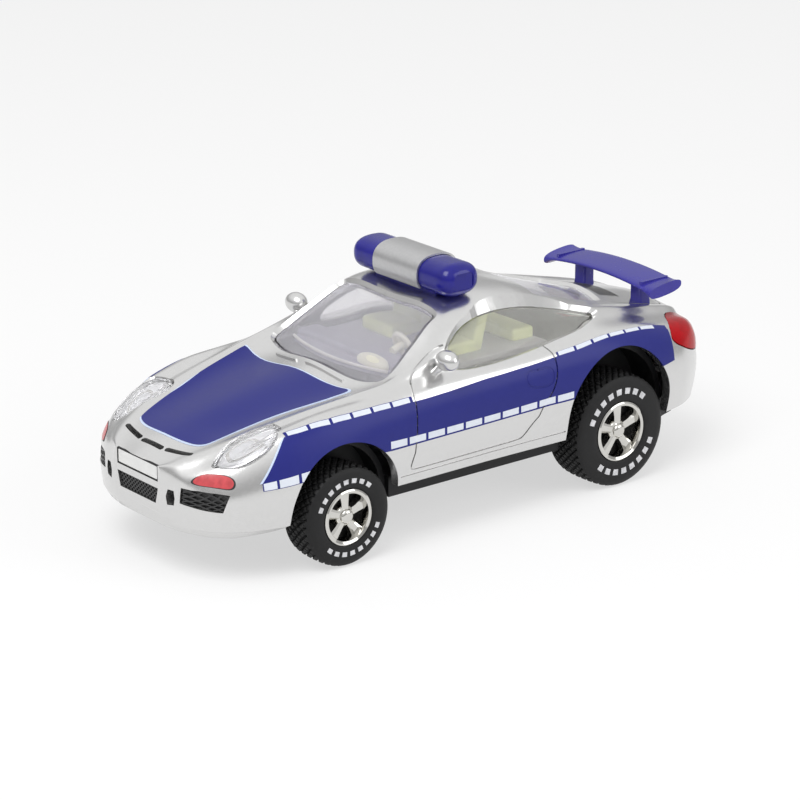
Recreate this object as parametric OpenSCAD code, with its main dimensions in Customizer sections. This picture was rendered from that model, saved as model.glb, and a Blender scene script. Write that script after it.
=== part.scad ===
// Toy police coupe with a pull-back motor. Millimetres, +X to the nose,
// +Y to the driver's side, +Z up, ground at z = 0, origin under the middle.

/* [Body] */
// Distance between the two axles
wheelbase = 40; // [37:0.5:44]
// From the front axle to the nose
front_overhang = 17.2; // [15.5:0.1:19]
// From the rear axle to the tail
rear_overhang = 17.2; // [15.5:0.1:19]
// Width of the shell over the rear arches
body_width = 31.4; // [30:0.1:34]
// Height of the sill's lower edge over the ground
ride_height = 7.6; // [7:0.1:8.6]
// Height of the roof over the sill's lower edge
body_height = 17.3; // [16:0.1:19]
// Wall of the shell
wall = 1.2; // [0.9:0.05:1.5]
// Gap between a front tyre and its arch
front_arch_gap = 1.4; // [1:0.1:1.8]
// Gap between a rear tyre and its arch
rear_arch_gap = 1.2; // [1.1:0.1:1.8]
// Height of the front arch's middle over the axle
front_arch_rise = 1.3; // [0.6:0.1:1.8]
// Height of the rear arch's middle over the axle
rear_arch_rise = 2.5; // [1:0.1:2.8]
// How far the rear arch's middle lies ahead of the axle
rear_arch_lead = 0.6; // [0:0.1:0.8]

/* [Glass and lamps] */
// Thickness of the window panes
pane = 0.8; // [0.5:0.05:1.2]
// Depth of the panes under the shell's outer face
pane_set = 0.2; // [0:0.05:0.4]
// Thickness of the lamp lenses
lens = 0.6; // [0.4:0.05:0.9]
// Depth of a grille panel's pocket
grille_depth = 0.7; // [0.4:0.05:0.8]
// Clearance around pieces that are pushed in
seat_gap = 0.05; // [0.02:0.01:0.1]

/* [Light bar] */
// Length across the roof
bar_length = 17.8; // [15:0.1:19]
// Depth along the car
bar_depth = 5.4; // [4.4:0.1:6.4]
// Height of the top over the roof
bar_height = 3.9; // [3:0.1:5]
// Width of the silver cover over its middle
cover_width = 8; // [6:0.1:10]
// Thickness of that cover
cover_wall = 0.25; // [0.2:0.05:0.5]

/* [Wing] */
// Span of the blade
wing_span = 19; // [15:0.1:20]
// Chord of the blade
wing_chord = 5; // [4:0.1:5.6]
// Thickness of the blade
wing_thickness = 0.7; // [0.5:0.05:1]
// Height of the blade's underside over the deck
wing_height = 3; // [2.2:0.1:3.6]
// Distance between the middles of the two posts
post_spacing = 10; // [8:0.1:11]
// Width of a post across the car
post_width = 1.9; // [1.4:0.1:2.4]
// Length of a post along the car
post_length = 1.7; // [1.2:0.1:2.2]
// Height of the plates at the blade's ends
tip_height = 1.5; // [1:0.1:2]
// Drop of the blade from its middle to its ends
wing_arch = 0.8; // [0.2:0.1:1.2]

/* [Mirrors] */
// Length of a mirror's housing
mirror_length = 3.1; // [2.4:0.1:3.6]
// Diameter of a mirror's housing
mirror_diameter = 2.4; // [1.8:0.1:3]
// Diameter of a mirror's stalk
stalk_diameter = 0.9; // [0.7:0.05:1.2]

/* [Wheels] */
// Diameter of the front tyres
front_tyre = 11.5; // [10.5:0.1:12.5]
// Diameter of the rear tyres
rear_tyre = 13.5; // [12.5:0.1:14.5]
// Width of the front tyres
front_tyre_width = 4.6; // [3.8:0.1:5]
// Width of the rear tyres
rear_tyre_width = 5.6; // [4.6:0.1:6]
// Diameter of the front rims
front_rim = 6.3; // [5.6:0.1:7]
// Diameter of the rear rims
rear_rim = 7; // [6.2:0.1:7.8]
// How far the front wheels' outer faces lie inside the shell's width
front_inset = 0.5; // [0:0.1:1]
// How far the rear wheels' outer faces lie inside the shell's width
rear_inset = 0.9; // [0.4:0.1:1.3]
// Diameter of the front axle
front_axle_diameter = 1.5; // [1.2:0.05:1.8]
// Diameter of the rear axle
rear_axle_diameter = 1.8; // [1.5:0.05:2]
// Radial running clearance of axles and shafts
run_gap = 0.05; // [0.02:0.01:0.1]
// Number of lugs around a tyre's shoulder
lugs = 32; // [20:1:40]
// Depth of the tread between the lugs
tread = 0.35; // [0.2:0.05:0.5]
// Number of spokes
spokes = 5; // [4:1:7]

/* [Chassis] */
// Thickness of the floor
floor_thickness = 2.4; // [1.8:0.1:2.8]
// How far the floor hangs below the sill
floor_drop = 1.8; // [1.4:0.1:2]
// Wall of the wheel houses
liner_wall = 0.7; // [0.5:0.05:0.9]
// Diameter of the screws
screw_diameter = 1.4; // [1:0.1:1.6]

/* [Motor] */
// Size of a gear tooth, pitch diameter over teeth
gear_module = 0.4; // [0.38:0.01:0.42]
// Teeth of the pinion on the rear axle
axle_teeth = 10; // [10:1:12]
// Teeth of the large transfer wheel
transfer_teeth = 24; // [22:1:26]
// Teeth of the transfer pinion
pinion_teeth = 10; // [10:1:12]
// Teeth of the spring wheel
spring_teeth = 26; // [24:1:28]
// Play between the flanks of two teeth
backlash = 0.12; // [0.08:0.01:0.2]
// Climb of the line from the rear axle to the transfer shaft, degrees
transfer_climb = 30; // [24:1:34]
// Gap between the motor case and a rear wheel house
case_gap = 0.3; // [0.25:0.05:0.8]
// Wall of the motor case
case_wall = 0.8; // [0.6:0.05:1]
// Diameter of the transfer shaft
transfer_shaft_diameter = 1.2; // [1:0.05:1.4]
// Diameter of the spring shaft
spring_shaft_diameter = 1.8; // [1.4:0.05:2]
// Thickness of the mainspring's ribbon
ribbon = 0.3; // [0.2:0.02:0.36]
// Turns of the mainspring
spring_turns = 5; // [3:1:5]

/* [Cabin] */
// Thickness of the cabin's floor
tub_thickness = 0.8; // [0.6:0.05:1.2]
// Diameter of the steering wheel over its rim
steering_diameter = 3.2; // [2.6:0.1:3.6]

/* [Hidden] */
$fn = 48;

// Sizes at which the shell's lines below are drawn
drawn_base = 40;
drawn_overhang = 17.2;
drawn_width = 31.4;
drawn_sill = 7.6;
drawn_height = 17.3;
drawn_half = drawn_base / 2 + drawn_overhang;

// Lines of the shell: place along the car, then half width or height
sill_y = [[-37.2, 5], [-36.9, 6.6], [-36.3, 8.6], [-35, 10.6], [-33, 12.3], [-30, 13.8], [-26, 14.7],
    [-20, 15.1], [-11, 14.8], [0, 14.6], [13, 14.7], [20, 14.7], [25, 14.4], [28.5, 13.9], [31.5, 12.9],
    [33.6, 11.7], [35.2, 10], [36.3, 7.8], [36.9, 5.8], [37.2, 4.2]];
sill_z = [[-37.2, 9.4], [-36.9, 8.4], [-36.3, 7.6], [-35, 7.4], [-28, 7.5], [-12, 7.6], [12.5, 7.6],
    [14, 7.4], [24, 6.5], [28, 6.2], [35, 6.2], [36.3, 6.3], [36.9, 6.6], [37.2, 7.1]];
side_y = [[-37.2, 5.4], [-36.9, 7.2], [-36.3, 9.2], [-35, 11.3], [-33, 13], [-30, 14.5], [-26, 15.3],
    [-20, 15.7], [-13, 15.4], [-7, 15.1], [0, 15], [8, 15], [15, 15.2], [20, 15.35], [25, 15.05],
    [28.5, 14.5], [31.5, 13.5], [33.6, 12.3], [35.2, 10.5], [36.3, 8.2], [36.9, 6.2], [37.2, 4.6]];
side_z = [[-37.2, 12], [-30, 12], [-20, 12.4], [-10, 11.6], [8, 11.2], [20, 11], [30, 10], [37.2, 9.6]];
crown_y = [[-37.2, 5], [-36.8, 6.8], [-35.5, 9.2], [-33, 10.9], [-29, 12.3], [-24, 13.2], [-18, 13.9],
    [-12, 14.1], [-6, 14.1], [0, 14], [8, 13.8], [14, 13.2], [20, 12.4], [26, 11.9], [29.5, 11.4],
    [32, 10.9], [34.5, 9.6], [36.3, 7.6], [37.2, 4.6]];
crown_z = [[-37.2, 14], [-36.8, 14.8], [-35.5, 15.6], [-33, 16.4], [-29, 17.3], [-24, 18.2], [-18, 18.6],
    [-12, 18.2], [-6, 17.7], [0, 17.5], [8, 17.5], [14, 17.6], [20, 17.4], [26, 16.4], [29.5, 15.2],
    [32, 14], [34.5, 12.6], [36.3, 11.6], [37.2, 11]];
belt_y = [[-37.2, 4.4], [-36.8, 5.6], [-35.5, 7.2], [-32, 8.4], [-27, 9.3], [-22, 10.1], [-17, 10.9],
    [-13, 11.6], [-8, 12.3], [-2, 12.7], [5, 12.75], [11, 12.5], [14, 12.2], [20, 11.2], [26, 10.4],
    [29.5, 9.8], [32, 9.3], [34.5, 8.2], [36.3, 6.6], [37.2, 4.4]];
belt_z = [[-37.2, 14.4], [-36.8, 15.2], [-35.5, 16.2], [-32, 17.2], [-27, 18.3], [-22, 19.2], [-17, 19.8],
    [-13, 19.8], [-8, 19.3], [-2, 18.9], [5, 18.65], [11, 18.35], [14, 18], [20, 17.1], [26, 16],
    [29.5, 15], [32, 14], [34.5, 13.1], [36.3, 12.3], [37.2, 11.9]];
rail_y = [[-37.2, 3.4], [-36.8, 4.2], [-35.8, 5.2], [-32, 6.1], [-26, 6.9], [-20, 7.8], [-14, 8.7],
    [-9, 9.3], [-4, 9.6], [0, 9.55], [3, 9.6], [7, 10.35], [11, 11], [12.5, 11], [16, 10.4],
    [22, 9.2], [28, 7.6], [32, 6.3], [35, 5], [36.3, 4.4], [37.2, 3.6]];
rail_z = [[-37.2, 14.8], [-36.8, 15.6], [-35.8, 16.7], [-32, 17.8], [-26, 19.1], [-20, 20.5], [-14, 22.1],
    [-9, 23.3], [-4, 23.75], [0, 23.6], [3, 23], [7, 20.9], [11, 18.8], [12.5, 18.25], [16, 17.6],
    [22, 16.6], [28, 15.3], [32, 14.3], [35, 13.35], [36.3, 12.75], [37.2, 12.3]];
top_z = [[-37.2, 15], [-36.9, 16.2], [-36, 17.1], [-34, 17.75], [-30, 18.75], [-26, 19.85], [-22, 21],
    [-18, 22.2], [-13, 23.6], [-8, 24.6], [-3, 24.9], [1, 24.6], [3.2, 24.15], [6, 22.7], [9, 20.95],
    [12.6, 18.8], [13.2, 18.35], [16, 17.8], [20, 17.15], [25, 16.2], [30, 15], [34, 13.9],
    [35.1, 13.45], [36.5, 12.9], [37.2, 12.5]];
glass_bulge = 0.3;
low_side = [0.7, 0.45];

// From drawn places to the places at the sizes set above
shift = (front_overhang - rear_overhang) / 2;
front_x = wheelbase / 2 - shift;
rear_x = -wheelbase / 2 - shift;
function place_x(x) =
    x > drawn_base / 2 ? front_x + (x - drawn_base / 2) * front_overhang / drawn_overhang :
    x < -drawn_base / 2 ? rear_x + (x + drawn_base / 2) * rear_overhang / drawn_overhang :
    x * wheelbase / drawn_base - shift;
function place_y(y) = y * body_width / drawn_width;
function place_z(z) = ride_height + (z - drawn_sill) * body_height / drawn_height;
nose_x = place_x(drawn_half);
tail_x = place_x(-drawn_half);

// Smooth value of a line at x
function slope(c, i) = (c[i + 1][1] - c[i][1]) / (c[i + 1][0] - c[i][0]);
function knot(c, i) =
    i == 0 ? slope(c, 0) :
    i == len(c) - 1 ? slope(c, i - 1) :
    slope(c, i - 1) * slope(c, i) <= 0 ? 0 :
    2 * slope(c, i - 1) * slope(c, i) / (slope(c, i - 1) + slope(c, i));
function span(c, x, i = 0) = i >= len(c) - 2 || x < c[i + 1][0] ? i : span(c, x, i + 1);
function hermite(a, b, ta, tb, t) =
    a * (1 - t) * (1 - t) * (1 + 2 * t) + ta * t * (1 - t) * (1 - t)
    + b * t * t * (3 - 2 * t) - tb * t * t * (1 - t);
function along(c, x) =
    let (i = span(c, x), run = c[i + 1][0] - c[i][0])
    hermite(c[i][1], c[i + 1][1], run * knot(c, i), run * knot(c, i + 1), (x - c[i][0]) / run);

// Half outline of the shell at x: eight points from the sill up to the middle
function section(x) =
    let (a = [along(sill_y, x), along(sill_z, x)],
        c = [along(side_y, x), along(side_z, x)],
        d = [along(crown_y, x), along(crown_z, x)],
        e = [along(belt_y, x), along(belt_z, x)],
        g = [along(rail_y, x), along(rail_z, x)],
        b = [a.x + low_side.x * (c.x - a.x), a.y + low_side.y * (c.y - a.y)],
        f = (e + g) / 2 + glass_bulge * [g.y - e.y, e.x - g.x] / norm(g - e))
    [a, b, c, d, e, f, g, [0, along(top_z, x)]];
last = 7;
function chord(p, i) = norm(p[i + 1] - p[i]);
function lean(p, i) =
    i == 0 ? (p[1] - p[0]) / chord(p, 0) :
    i == last ? [-1, 0] :
    ((p[i] - p[i - 1]) * chord(p, i) / chord(p, i - 1)
        + (p[i + 1] - p[i]) * chord(p, i - 1) / chord(p, i)) / (chord(p, i - 1) + chord(p, i));
function outline(p, v) =
    let (i = min(floor(v), last - 1), d = chord(p, i))
    hermite(p[i], p[i + 1], d * lean(p, i), d * lean(p, i + 1), v - i);

// Point of the shell: q is 7 at the left sill, 0 on the middle, -7 at the right sill
function on_section(p, x, q) =
    let (o = outline(p, last - abs(q)))
    [place_x(x), sign(q) * place_y(o.x), place_z(o.y)];
function surf(x, q) = on_section(section(x), x, q);
function unit(v) = v / norm(v);
step_x = 0.05;
step_q = 0.02;
function normal(x, q) =
    let (run = surf(min(x + step_x, drawn_half), q) - surf(max(x - step_x, -drawn_half), q),
        rise = surf(x, min(q + step_q, last)) - surf(x, max(q - step_q, -last)))
    unit(cross(run, rise));
// Point at a height over the shell's face, negative inside it
function skin(x, q, h) = surf(x, q) + h * normal(x, q);
function q_at(x, y, low = 0, high = 4, n = 18) =
    n == 0 ? (low + high) / 2 :
    surf(x, (low + high) / 2).y < y ? q_at(x, y, (low + high) / 2, high, n - 1) :
    q_at(x, y, low, (low + high) / 2, n - 1);
// Height of the shell's upper face
function deck(x, y) = surf(x, q_at(x, abs(y))).z;

// Closed solid through equal rings of points; each ring folds onto itself for the ends
module loft(rings) {
    n = len(rings);
    m = len(rings[0]);
    far = (n - 1) * m;
    sides = [for (i = [0 : n - 2]) for (j = [0 : m - 1]) let (k = (j + 1) % m, a = i * m, b = a + m)
        each [[a + j, b + k, a + k], [a + j, b + j, b + k]]];
    fold = [for (j = [0 : ceil(m / 2) - 2])
        each [if (j + 1 != m - 2 - j) [j, j + 1, m - 2 - j], [j, m - 2 - j, m - 1 - j]]];
    ends = [for (t = fold) each [t, [far + t[0], far + t[2], far + t[1]]]];
    polyhedron([for (r = rings) each r], concat(sides, ends));
}

// Whole shell as a solid, at a depth under its face and open to below when it is a core
outer_stations = 31;
outer_steps = 3;
core_stations = 18;
core_steps = 2;
core_drop = 4;
function stations(n, half) = [for (i = [0 : n]) -half * cos(180 * i / n)];
module shell_solid() {
    loft([for (x = stations(outer_stations, drawn_half)) let (p = section(x))
        [for (k = [last * outer_steps : -1 : -last * outer_steps]) on_section(p, x, k / outer_steps)]]);
}
function inside(p) = [min(max(p.x, tail_x + wall), nose_x - wall), p.y, p.z];
module shell_core() {
    loft([for (x = stations(core_stations, drawn_half - step_x))
        let (face = [for (k = [last * core_steps : -1 : -last * core_steps])
            inside(skin(x, k / core_steps, -wall))], end = len(face) - 1)
        concat([face[0] - [0, 0, core_drop]], face, [face[end] - [0, 0, core_drop]])]);
}

// Plate between two heights over the shell, between two lines of places [x, q]
slab_steps = 5;
function mix(a, b, t) = a + (b - a) * t;
module slab(low, high, top, bottom) {
    loft([for (i = [0 : len(low) - 1])
        let (row = [for (j = [0 : slab_steps]) mix(low[i], high[i], j / slab_steps)])
        concat([for (s = row) skin(s.x, s.y, top)],
            [for (j = [slab_steps : -1 : 0]) skin(row[j].x, row[j].y, bottom)])]);
}
// A line with added places between its own
edge_split = 2;
function fine(line) = concat([for (i = [0 : len(line) - 2]) for (j = [0 : edge_split - 1])
    mix(line[i], line[i + 1], j / edge_split)], [line[len(line) - 1]]);
// The same lines, drawn in or out around their middle
function middle(low, high) = ([for (p = low) 1] * low + [for (p = high) 1] * high) / (2 * len(low));
function shrink(line, about, k) = [for (p = line) about + (p - about) * k];
module fitted_slab(edges, top, bottom, k) {
    about = middle(edges[0], edges[1]);
    slab(shrink(edges[0], about, k), shrink(edges[1], about, k), top, bottom);
}
// Piece drawn in x and z, set across the car between two places
module across(y0, y1) {
    translate([0, y1, 0]) rotate([90, 0, 0]) linear_extrude(y1 - y0) children();
}
module right_side() {
    mirror([0, 1, 0]) children();
}
module ahead(x0, x1) {
    translate([x0, 0, 0]) rotate([90, 0, 90]) linear_extrude(x1 - x0) children();
}

// Opening over a wheel: round above, straight below
module arch(at, r) {
    translate(at) circle(r);
    translate(at - [r, 2 * r]) square([2 * r, 2 * r]);
}

// Wheels, axles and arches
front_r = front_tyre / 2;
rear_r = rear_tyre / 2;
front_arch = front_r + front_arch_gap;
rear_arch = rear_r + rear_arch_gap;
front_arch_at = [front_x, front_r + front_arch_rise];
rear_arch_at = [rear_x + rear_arch_lead, rear_r + rear_arch_rise];
front_face = body_width / 2 - front_inset;
rear_face = body_width / 2 - rear_inset;
liner_gap = 0.6;
front_liner = front_face - front_tyre_width - liner_gap;
rear_liner = rear_face - rear_tyre_width - liner_gap;
floor_bottom = ride_height - floor_drop;
floor_top = floor_bottom + floor_thickness;
floor_margin = 0.4;
past = 1;

// Motor: places of the shafts and sizes of the case
addendum = 0.9 * gear_module;
dedendum = 1.2 * gear_module;
function pitch_r(teeth) = teeth * gear_module / 2;
function tip_r(teeth) = pitch_r(teeth) + addendum;
axle_at = [rear_x, rear_r];
transfer_reach = pitch_r(axle_teeth) + pitch_r(transfer_teeth);
transfer_at = axle_at + transfer_reach * [cos(transfer_climb), sin(transfer_climb)];
spring_at = transfer_at + [pitch_r(pinion_teeth) + pitch_r(spring_teeth), 0];
case_room = 0.35;
axle_case = tip_r(axle_teeth) + case_room + case_wall;
transfer_case = tip_r(transfer_teeth) + case_room + case_wall;
spring_case = tip_r(spring_teeth) + case_room + case_wall;
case_half = rear_liner - liner_wall - case_gap;
case_split = 0;
gear_gap = 0.4;
gear_width = 2.2;
first_row = [case_half - case_wall - gear_gap - gear_width, case_half - case_wall - gear_gap];
second_row = [case_split + gear_gap, first_row[0] - gear_gap];
motor_top = max(spring_at.y + spring_case, transfer_at.y + transfer_case);
motor_front = spring_at.x + spring_case;
motor_rear = rear_x - axle_case;
ear_reach = 3.2;
ear_thickness = 1;
ear_width = 0.66 * case_half;
ear_overlap = 0.5;

// Window edges, as places [x, q] along the lower and the upper edge
edge_steps = 8;
edge_run = [for (i = [0 : edge_steps]) 1 - 2 * i / edge_steps];
function bowed(x, bow, half) = [for (s = edge_run) [x - bow * s * s, half * s]];
screen_edges = [bowed(13, 1.4, 0.93), bowed(2.8, 0.2, 0.86)];
rear_edges = [bowed(-13, -0.4, 0.82), bowed(-25.5, -1, 0.78)];
side_edges = [fine([[-20, 2.6], [-17.5, 3.05], [-14.5, 3.2], [-10, 3.22], [-5, 3.22], [0, 3.22],
        [3, 3.05], [3.9, 2.7]]),
    fine([[-20.2, 2.2], [-18.6, 1.55], [-15.5, 1.18], [-11, 1.12], [-6, 1.12], [-2, 1.2],
        [1.4, 1.6], [3.6, 2.2]])];
pane_fit = 1 - seat_gap;
cut_high = 1.5;
cut_deep = wall + 1.5;

// Lamps and grilles on the shell, as lower and upper edges
headlight_edges = [fine([[25.9, 3.3], [27, 4.03], [29, 4.24], [31.2, 4.28], [33.2, 4.12],
        [33.8, 3.75]]),
    fine([[25.7, 2.7], [26.2, 1.6], [27.6, 1.4], [30.6, 2], [32.6, 2.75], [33.75, 3.4]])];
lens_fit = 1 - 2 * seat_gap;
lamp_fit = 1 - 3.2 * seat_gap;
bowl_depth = 0.35;
tail_edges = [fine([[-36.6, 4.75], [-35, 4.75], [-33, 4.7], [-31, 4.58], [-28.6, 4.4]]),
    fine([[-36.4, 3.3], [-35, 2.9], [-33.2, 2.85], [-31, 3.4], [-28.8, 4.22]])];
grille_edges = [fine([[34.2, 5.61], [35, 5.57], [35.9, 5.5], [36.65, 5.4]]),
    fine([[33.55, 4.81], [34.6, 4.7], [35.7, 4.57], [36.55, 4.43]])];
centre_grille = [[-3.4, 8], [3.4, 8], [3.9, 9.8], [-3.9, 9.8]];
plate_size = [7.7, 1.75];
plate_z = 11.5;
plate_depth = 0.25;

module body_shell() {
    color("silver") difference() {
        union() {
            difference() {
                shell_solid();
                shell_core();
            }
            intersection() {
                shell_solid();
                screw_bosses();
            }
        }
        across(-body_width, body_width) {
            arch(front_arch_at, front_arch);
            arch(rear_arch_at, rear_arch);
        }
        slab(screen_edges[0], screen_edges[1], cut_high, -cut_deep);
        slab(rear_edges[0], rear_edges[1], cut_high, -cut_deep);
        for (side = [0, 1]) mirror([0, side, 0]) {
            slab(side_edges[0], side_edges[1], cut_high, -cut_deep);
            slab(headlight_edges[0], headlight_edges[1], cut_high, -cut_deep);
            slab(tail_edges[0], tail_edges[1], cut_high, -cut_deep);
            slab(grille_edges[0], grille_edges[1], cut_high, -grille_depth - seat_gap);
            mirror_stalk(seat_gap);
        }
        ahead(nose_x - grille_depth - seat_gap, nose_x + cut_high)
            polygon([for (p = centre_grille) [place_y(p.x), place_z(p.y)]]);
        ahead(nose_x - plate_depth, nose_x + cut_high)
            translate([0, place_z(plate_z)])
                square(plate_size + 2 * [seat_gap, seat_gap], center = true);
        hood_vents();
        lid_louvres();
        wing_posts(seat_gap);
        bar_peg(seat_gap);
    }
}
// Three slots across the front of the hood
vent_width = 0.55;
vents = [[[34.3, -6], [35, -2.6]], [[35.15, -1.7], [35.15, 1.7]], [[35, 2.6], [34.3, 6]]];
module hood_vents() {
    for (v = vents) hull() for (p = v)
        translate([place_x(p.x), place_y(p.y), deck(p.x, place_y(p.y)) - cut_deep])
            cylinder(d = vent_width, h = 2 * cut_deep, $fn = 8);
}
// Slots over the motor, in the rear lid
louvres = 5;
louvre_half = 3.4;
louvre_pitch = 0.65;
louvre_first = -26.6;
louvre_width = 0.45;
module lid_louvres() {
    for (i = [0 : louvres - 1]) let (x = louvre_first - i * louvre_pitch) hull() for (s = [-1, 1])
        translate([place_x(x), s * place_y(louvre_half), deck(x, place_y(louvre_half)) - cut_deep])
            cylinder(d = louvre_width, h = 2 * cut_deep, $fn = 8);
}

module glass(edges) {
    fitted_slab(edges, -pane_set, -pane_set - pane, pane_fit);
}
module windscreen() {
    color("lightsteelblue", 0.5) glass(screen_edges);
}
module rear_window() {
    color("lightsteelblue", 0.5) glass(rear_edges);
}
module side_window_left() {
    color("lightsteelblue", 0.5) glass(side_edges);
}
module side_window_right() {
    right_side() side_window_left();
}

// Bowl behind each lens
module headlight_bowl_left() {
    color("silver") fitted_slab(headlight_edges, -lens - 2 * seat_gap, -wall - bowl_depth, lamp_fit);
}
module headlight_bowl_right() {
    right_side() headlight_bowl_left();
}
module headlight_lens_left() {
    color("white", 0.6) fitted_slab(headlight_edges, 0, -lens, lens_fit);
}
module headlight_lens_right() {
    right_side() headlight_lens_left();
}
module tail_lamp_left() {
    color("crimson") fitted_slab(tail_edges, 0, -wall, lamp_fit);
}
module tail_lamp_right() {
    right_side() tail_lamp_left();
}

grille_set = 0.15;
grille_middle = [0, 8.9];
module front_grille() {
    color("black") {
        for (side = [0, 1]) mirror([0, side, 0])
            fitted_slab(grille_edges, -grille_set, -grille_depth, pane_fit);
        ahead(nose_x - grille_depth, nose_x - grille_set)
            polygon([for (p = shrink(centre_grille, grille_middle, lens_fit))
                [place_y(p.x), place_z(p.y)]]);
    }
}
module number_plate() {
    color("white") ahead(nose_x - plate_depth, nose_x)
        translate([0, place_z(plate_z)]) square(plate_size, center = true);
}

// Light bar: barrel of rounded section on a foot that passes through the roof
bar_x = -1.2;
bar_round = 1.6;
bar_sides = 16;
bar_rows = 6;
bar_power = 0.8;
bar_foot = [3, 11];
roof_gap = 0.1;
roof_z = place_z(drawn_sill + drawn_height);
bar_half = bar_height / 2;
bar_at = [place_x(bar_x), 0, roof_z + roof_gap + bar_half];
foot_reach = 1.4;
foot_depth = bar_half + wall + foot_reach;
end_flat = 0.05;
function signed_power(v, e) = sign(v) * pow(abs(v), e);
function bar_draw(y) =
    let (past = max(0, abs(y) - bar_length / 2 + bar_round) / bar_round)
    bar_round * (1 - sqrt(max(0, 1 - past * past)));
// Point of the barrel at y, grown by g; t runs from the front over the top to the back
function bar_point(y, t, g) =
    let (s = bar_draw(y) - g)
    bar_at + [(bar_depth / 2 - s) * signed_power(cos(t), bar_power), y,
        (bar_half - s) * signed_power(sin(t), bar_power)];
module bar_peg(g) {
    translate(bar_at - [bar_foot.x / 2 + g, bar_foot.y / 2 + g, foot_depth + g])
        cube([bar_foot.x + 2 * g, bar_foot.y + 2 * g, foot_depth]);
}
module light_bar() {
    reach = bar_length / 2 - end_flat;
    rows = [for (i = [bar_rows : -1 : -bar_rows]) reach * sin(90 * i / bar_rows)];
    color("mediumblue") {
        loft([for (y = rows) [for (k = [0 : bar_sides - 1]) bar_point(y, 360 * k / bar_sides, 0)]]);
        bar_peg(0);
    }
}
// Silver cover over the middle
cover_rows = 2;
cover_run = [-38, 218];
cover_steps = 14;
module light_bar_cover() {
    function edge(s, g) = [for (k = [0 : cover_steps])
        bar_point(s * cover_width / 2, mix(cover_run[0], cover_run[1], k / cover_steps), g)];
    color("silver") loft([for (i = [cover_rows : -1 : -cover_rows])
        let (s = i / cover_rows, under = edge(s, seat_gap))
        concat(edge(s, seat_gap + cover_wall), [for (k = [cover_steps : -1 : 0]) under[k]])]);
}

// Wing: arched blade with plates at its ends, on two posts that pass through the deck
wing_x = -31.4;
post_x = -31.5;
wing_tilt = 0.05;
tip_tilt = 0.08;
wing_rows = 8;
wing_sides = 12;
blade_power = [0.8, 0.7];
wing_flat = 0.78;
deck_z = deck(post_x, post_spacing / 2);
wing_z = deck_z + wing_height + wing_thickness / 2;
post_reach = 1;
post_depth = wall + post_reach;
post_top = wing_z - wing_arch * pow(post_spacing / wing_span, 2);
function tip_share(y) = pow(max(0, 2 * abs(y) / wing_span - wing_flat) / (1 - wing_flat), 2);
function wing_ring(y) =
    let (s = 2 * y / wing_span, up = tip_share(y), half = mix(wing_thickness, tip_height, up) / 2)
    [for (i = [0 : wing_sides - 1])
        let (t = 360 * i / wing_sides, x = wing_chord / 2 * signed_power(cos(t), blade_power.x))
        [place_x(wing_x) + x, y, wing_z - wing_arch * s * s - (wing_tilt + tip_tilt * up) * x
            + half * signed_power(sin(t), blade_power.y)]];
module wing_posts(g) {
    for (s = [-1, 1]) translate([place_x(post_x), s * post_spacing / 2, deck_z - post_depth - g])
        translate([-post_length / 2 - g, -post_width / 2 - g, 0])
            cube([post_length + 2 * g, post_width + 2 * g, post_top - deck_z + post_depth + g]);
}
module rear_wing() {
    color("mediumblue") {
        loft([for (i = [wing_rows : -1 : -wing_rows])
            wing_ring(wing_span / 2 * sin(90 * i / wing_rows))]);
        wing_posts(0);
    }
}

// Mirrors: egg-shaped housings on stalks that run into the shell
mirror_at = [place_x(5.3), place_y(13.9), place_z(20.3)];
stalk_way = unit([0.7, -1.2, -1.45]);
stalk_length = 3.9;
module mirror_stalk(g) {
    translate(mirror_at) rotate([0, acos(stalk_way.z), atan2(stalk_way.y, stalk_way.x)])
        cylinder(d = stalk_diameter + 2 * g, h = stalk_length + g);
}
module mirror_left() {
    egg = [for (t = [0 : 12 : 180]) [mirror_diameter / 2 * sin(t), -mirror_length / 2 * cos(t)]];
    color("silver") {
        translate(mirror_at) rotate([-90, 0, 0]) rotate_extrude() polygon(egg);
        mirror_stalk(0);
    }
}
module mirror_right() {
    right_side() mirror_left();
}

// Cabin: floor on top of the motor, two seats, rear bench and dashboard
cabin_floor = max(place_z(17.1), motor_top + 2 * seat_gap);
tub_half = 9.6;
tub_front = 8.8;
tub_rear = -13;
seat_y = 4.7;
seat_half = 2.7;
seat_height = 4.6;
cushion = 1.3;
soft = 0.5;
pillow_sides = 10;
back_lean = 0.25;
seat_x = [-5, 0.6];
back_x = -3.4;
bench_x = -9.6;
bench_gap = 0.2;
dash_gap = 0.6;
dash_height = 1.1;
dash_depth = 3;
module pillow(x0, x1, half, z0, z1, back = 0) {
    hull() for (x = [x0 + soft, x1 - soft]) for (s = [-1, 1]) for (z = [z0 + soft, z1 - soft])
        translate([x - back * (z - z0), s * (half - soft), z]) sphere(soft, $fn = pillow_sides);
}
tub_middle = cabin_floor + tub_thickness / 2;
tub_top = cabin_floor + tub_thickness;
module seat() {
    pillow(place_x(seat_x[0]), place_x(seat_x[1]), seat_half, tub_middle, tub_top + cushion);
    pillow(place_x(seat_x[0]), place_x(back_x), seat_half, tub_middle, cabin_floor + seat_height, back_lean);
}
module cabin_tub() {
    color("lightgoldenrodyellow") {
        translate([place_x(tub_rear), -place_y(tub_half), cabin_floor])
            cube([place_x(tub_front) - place_x(tub_rear), 2 * place_y(tub_half), tub_thickness]);
        for (s = [-1, 1]) translate([0, s * place_y(seat_y), 0]) seat();
        pillow(place_x(tub_rear) + bench_gap, place_x(bench_x), place_y(seat_y) + seat_half,
            tub_middle, tub_top + cushion);
        pillow(place_x(tub_front) - dash_depth, place_x(tub_front), place_y(tub_half) - dash_gap,
            tub_middle, tub_top + dash_height);
    }
}
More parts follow.
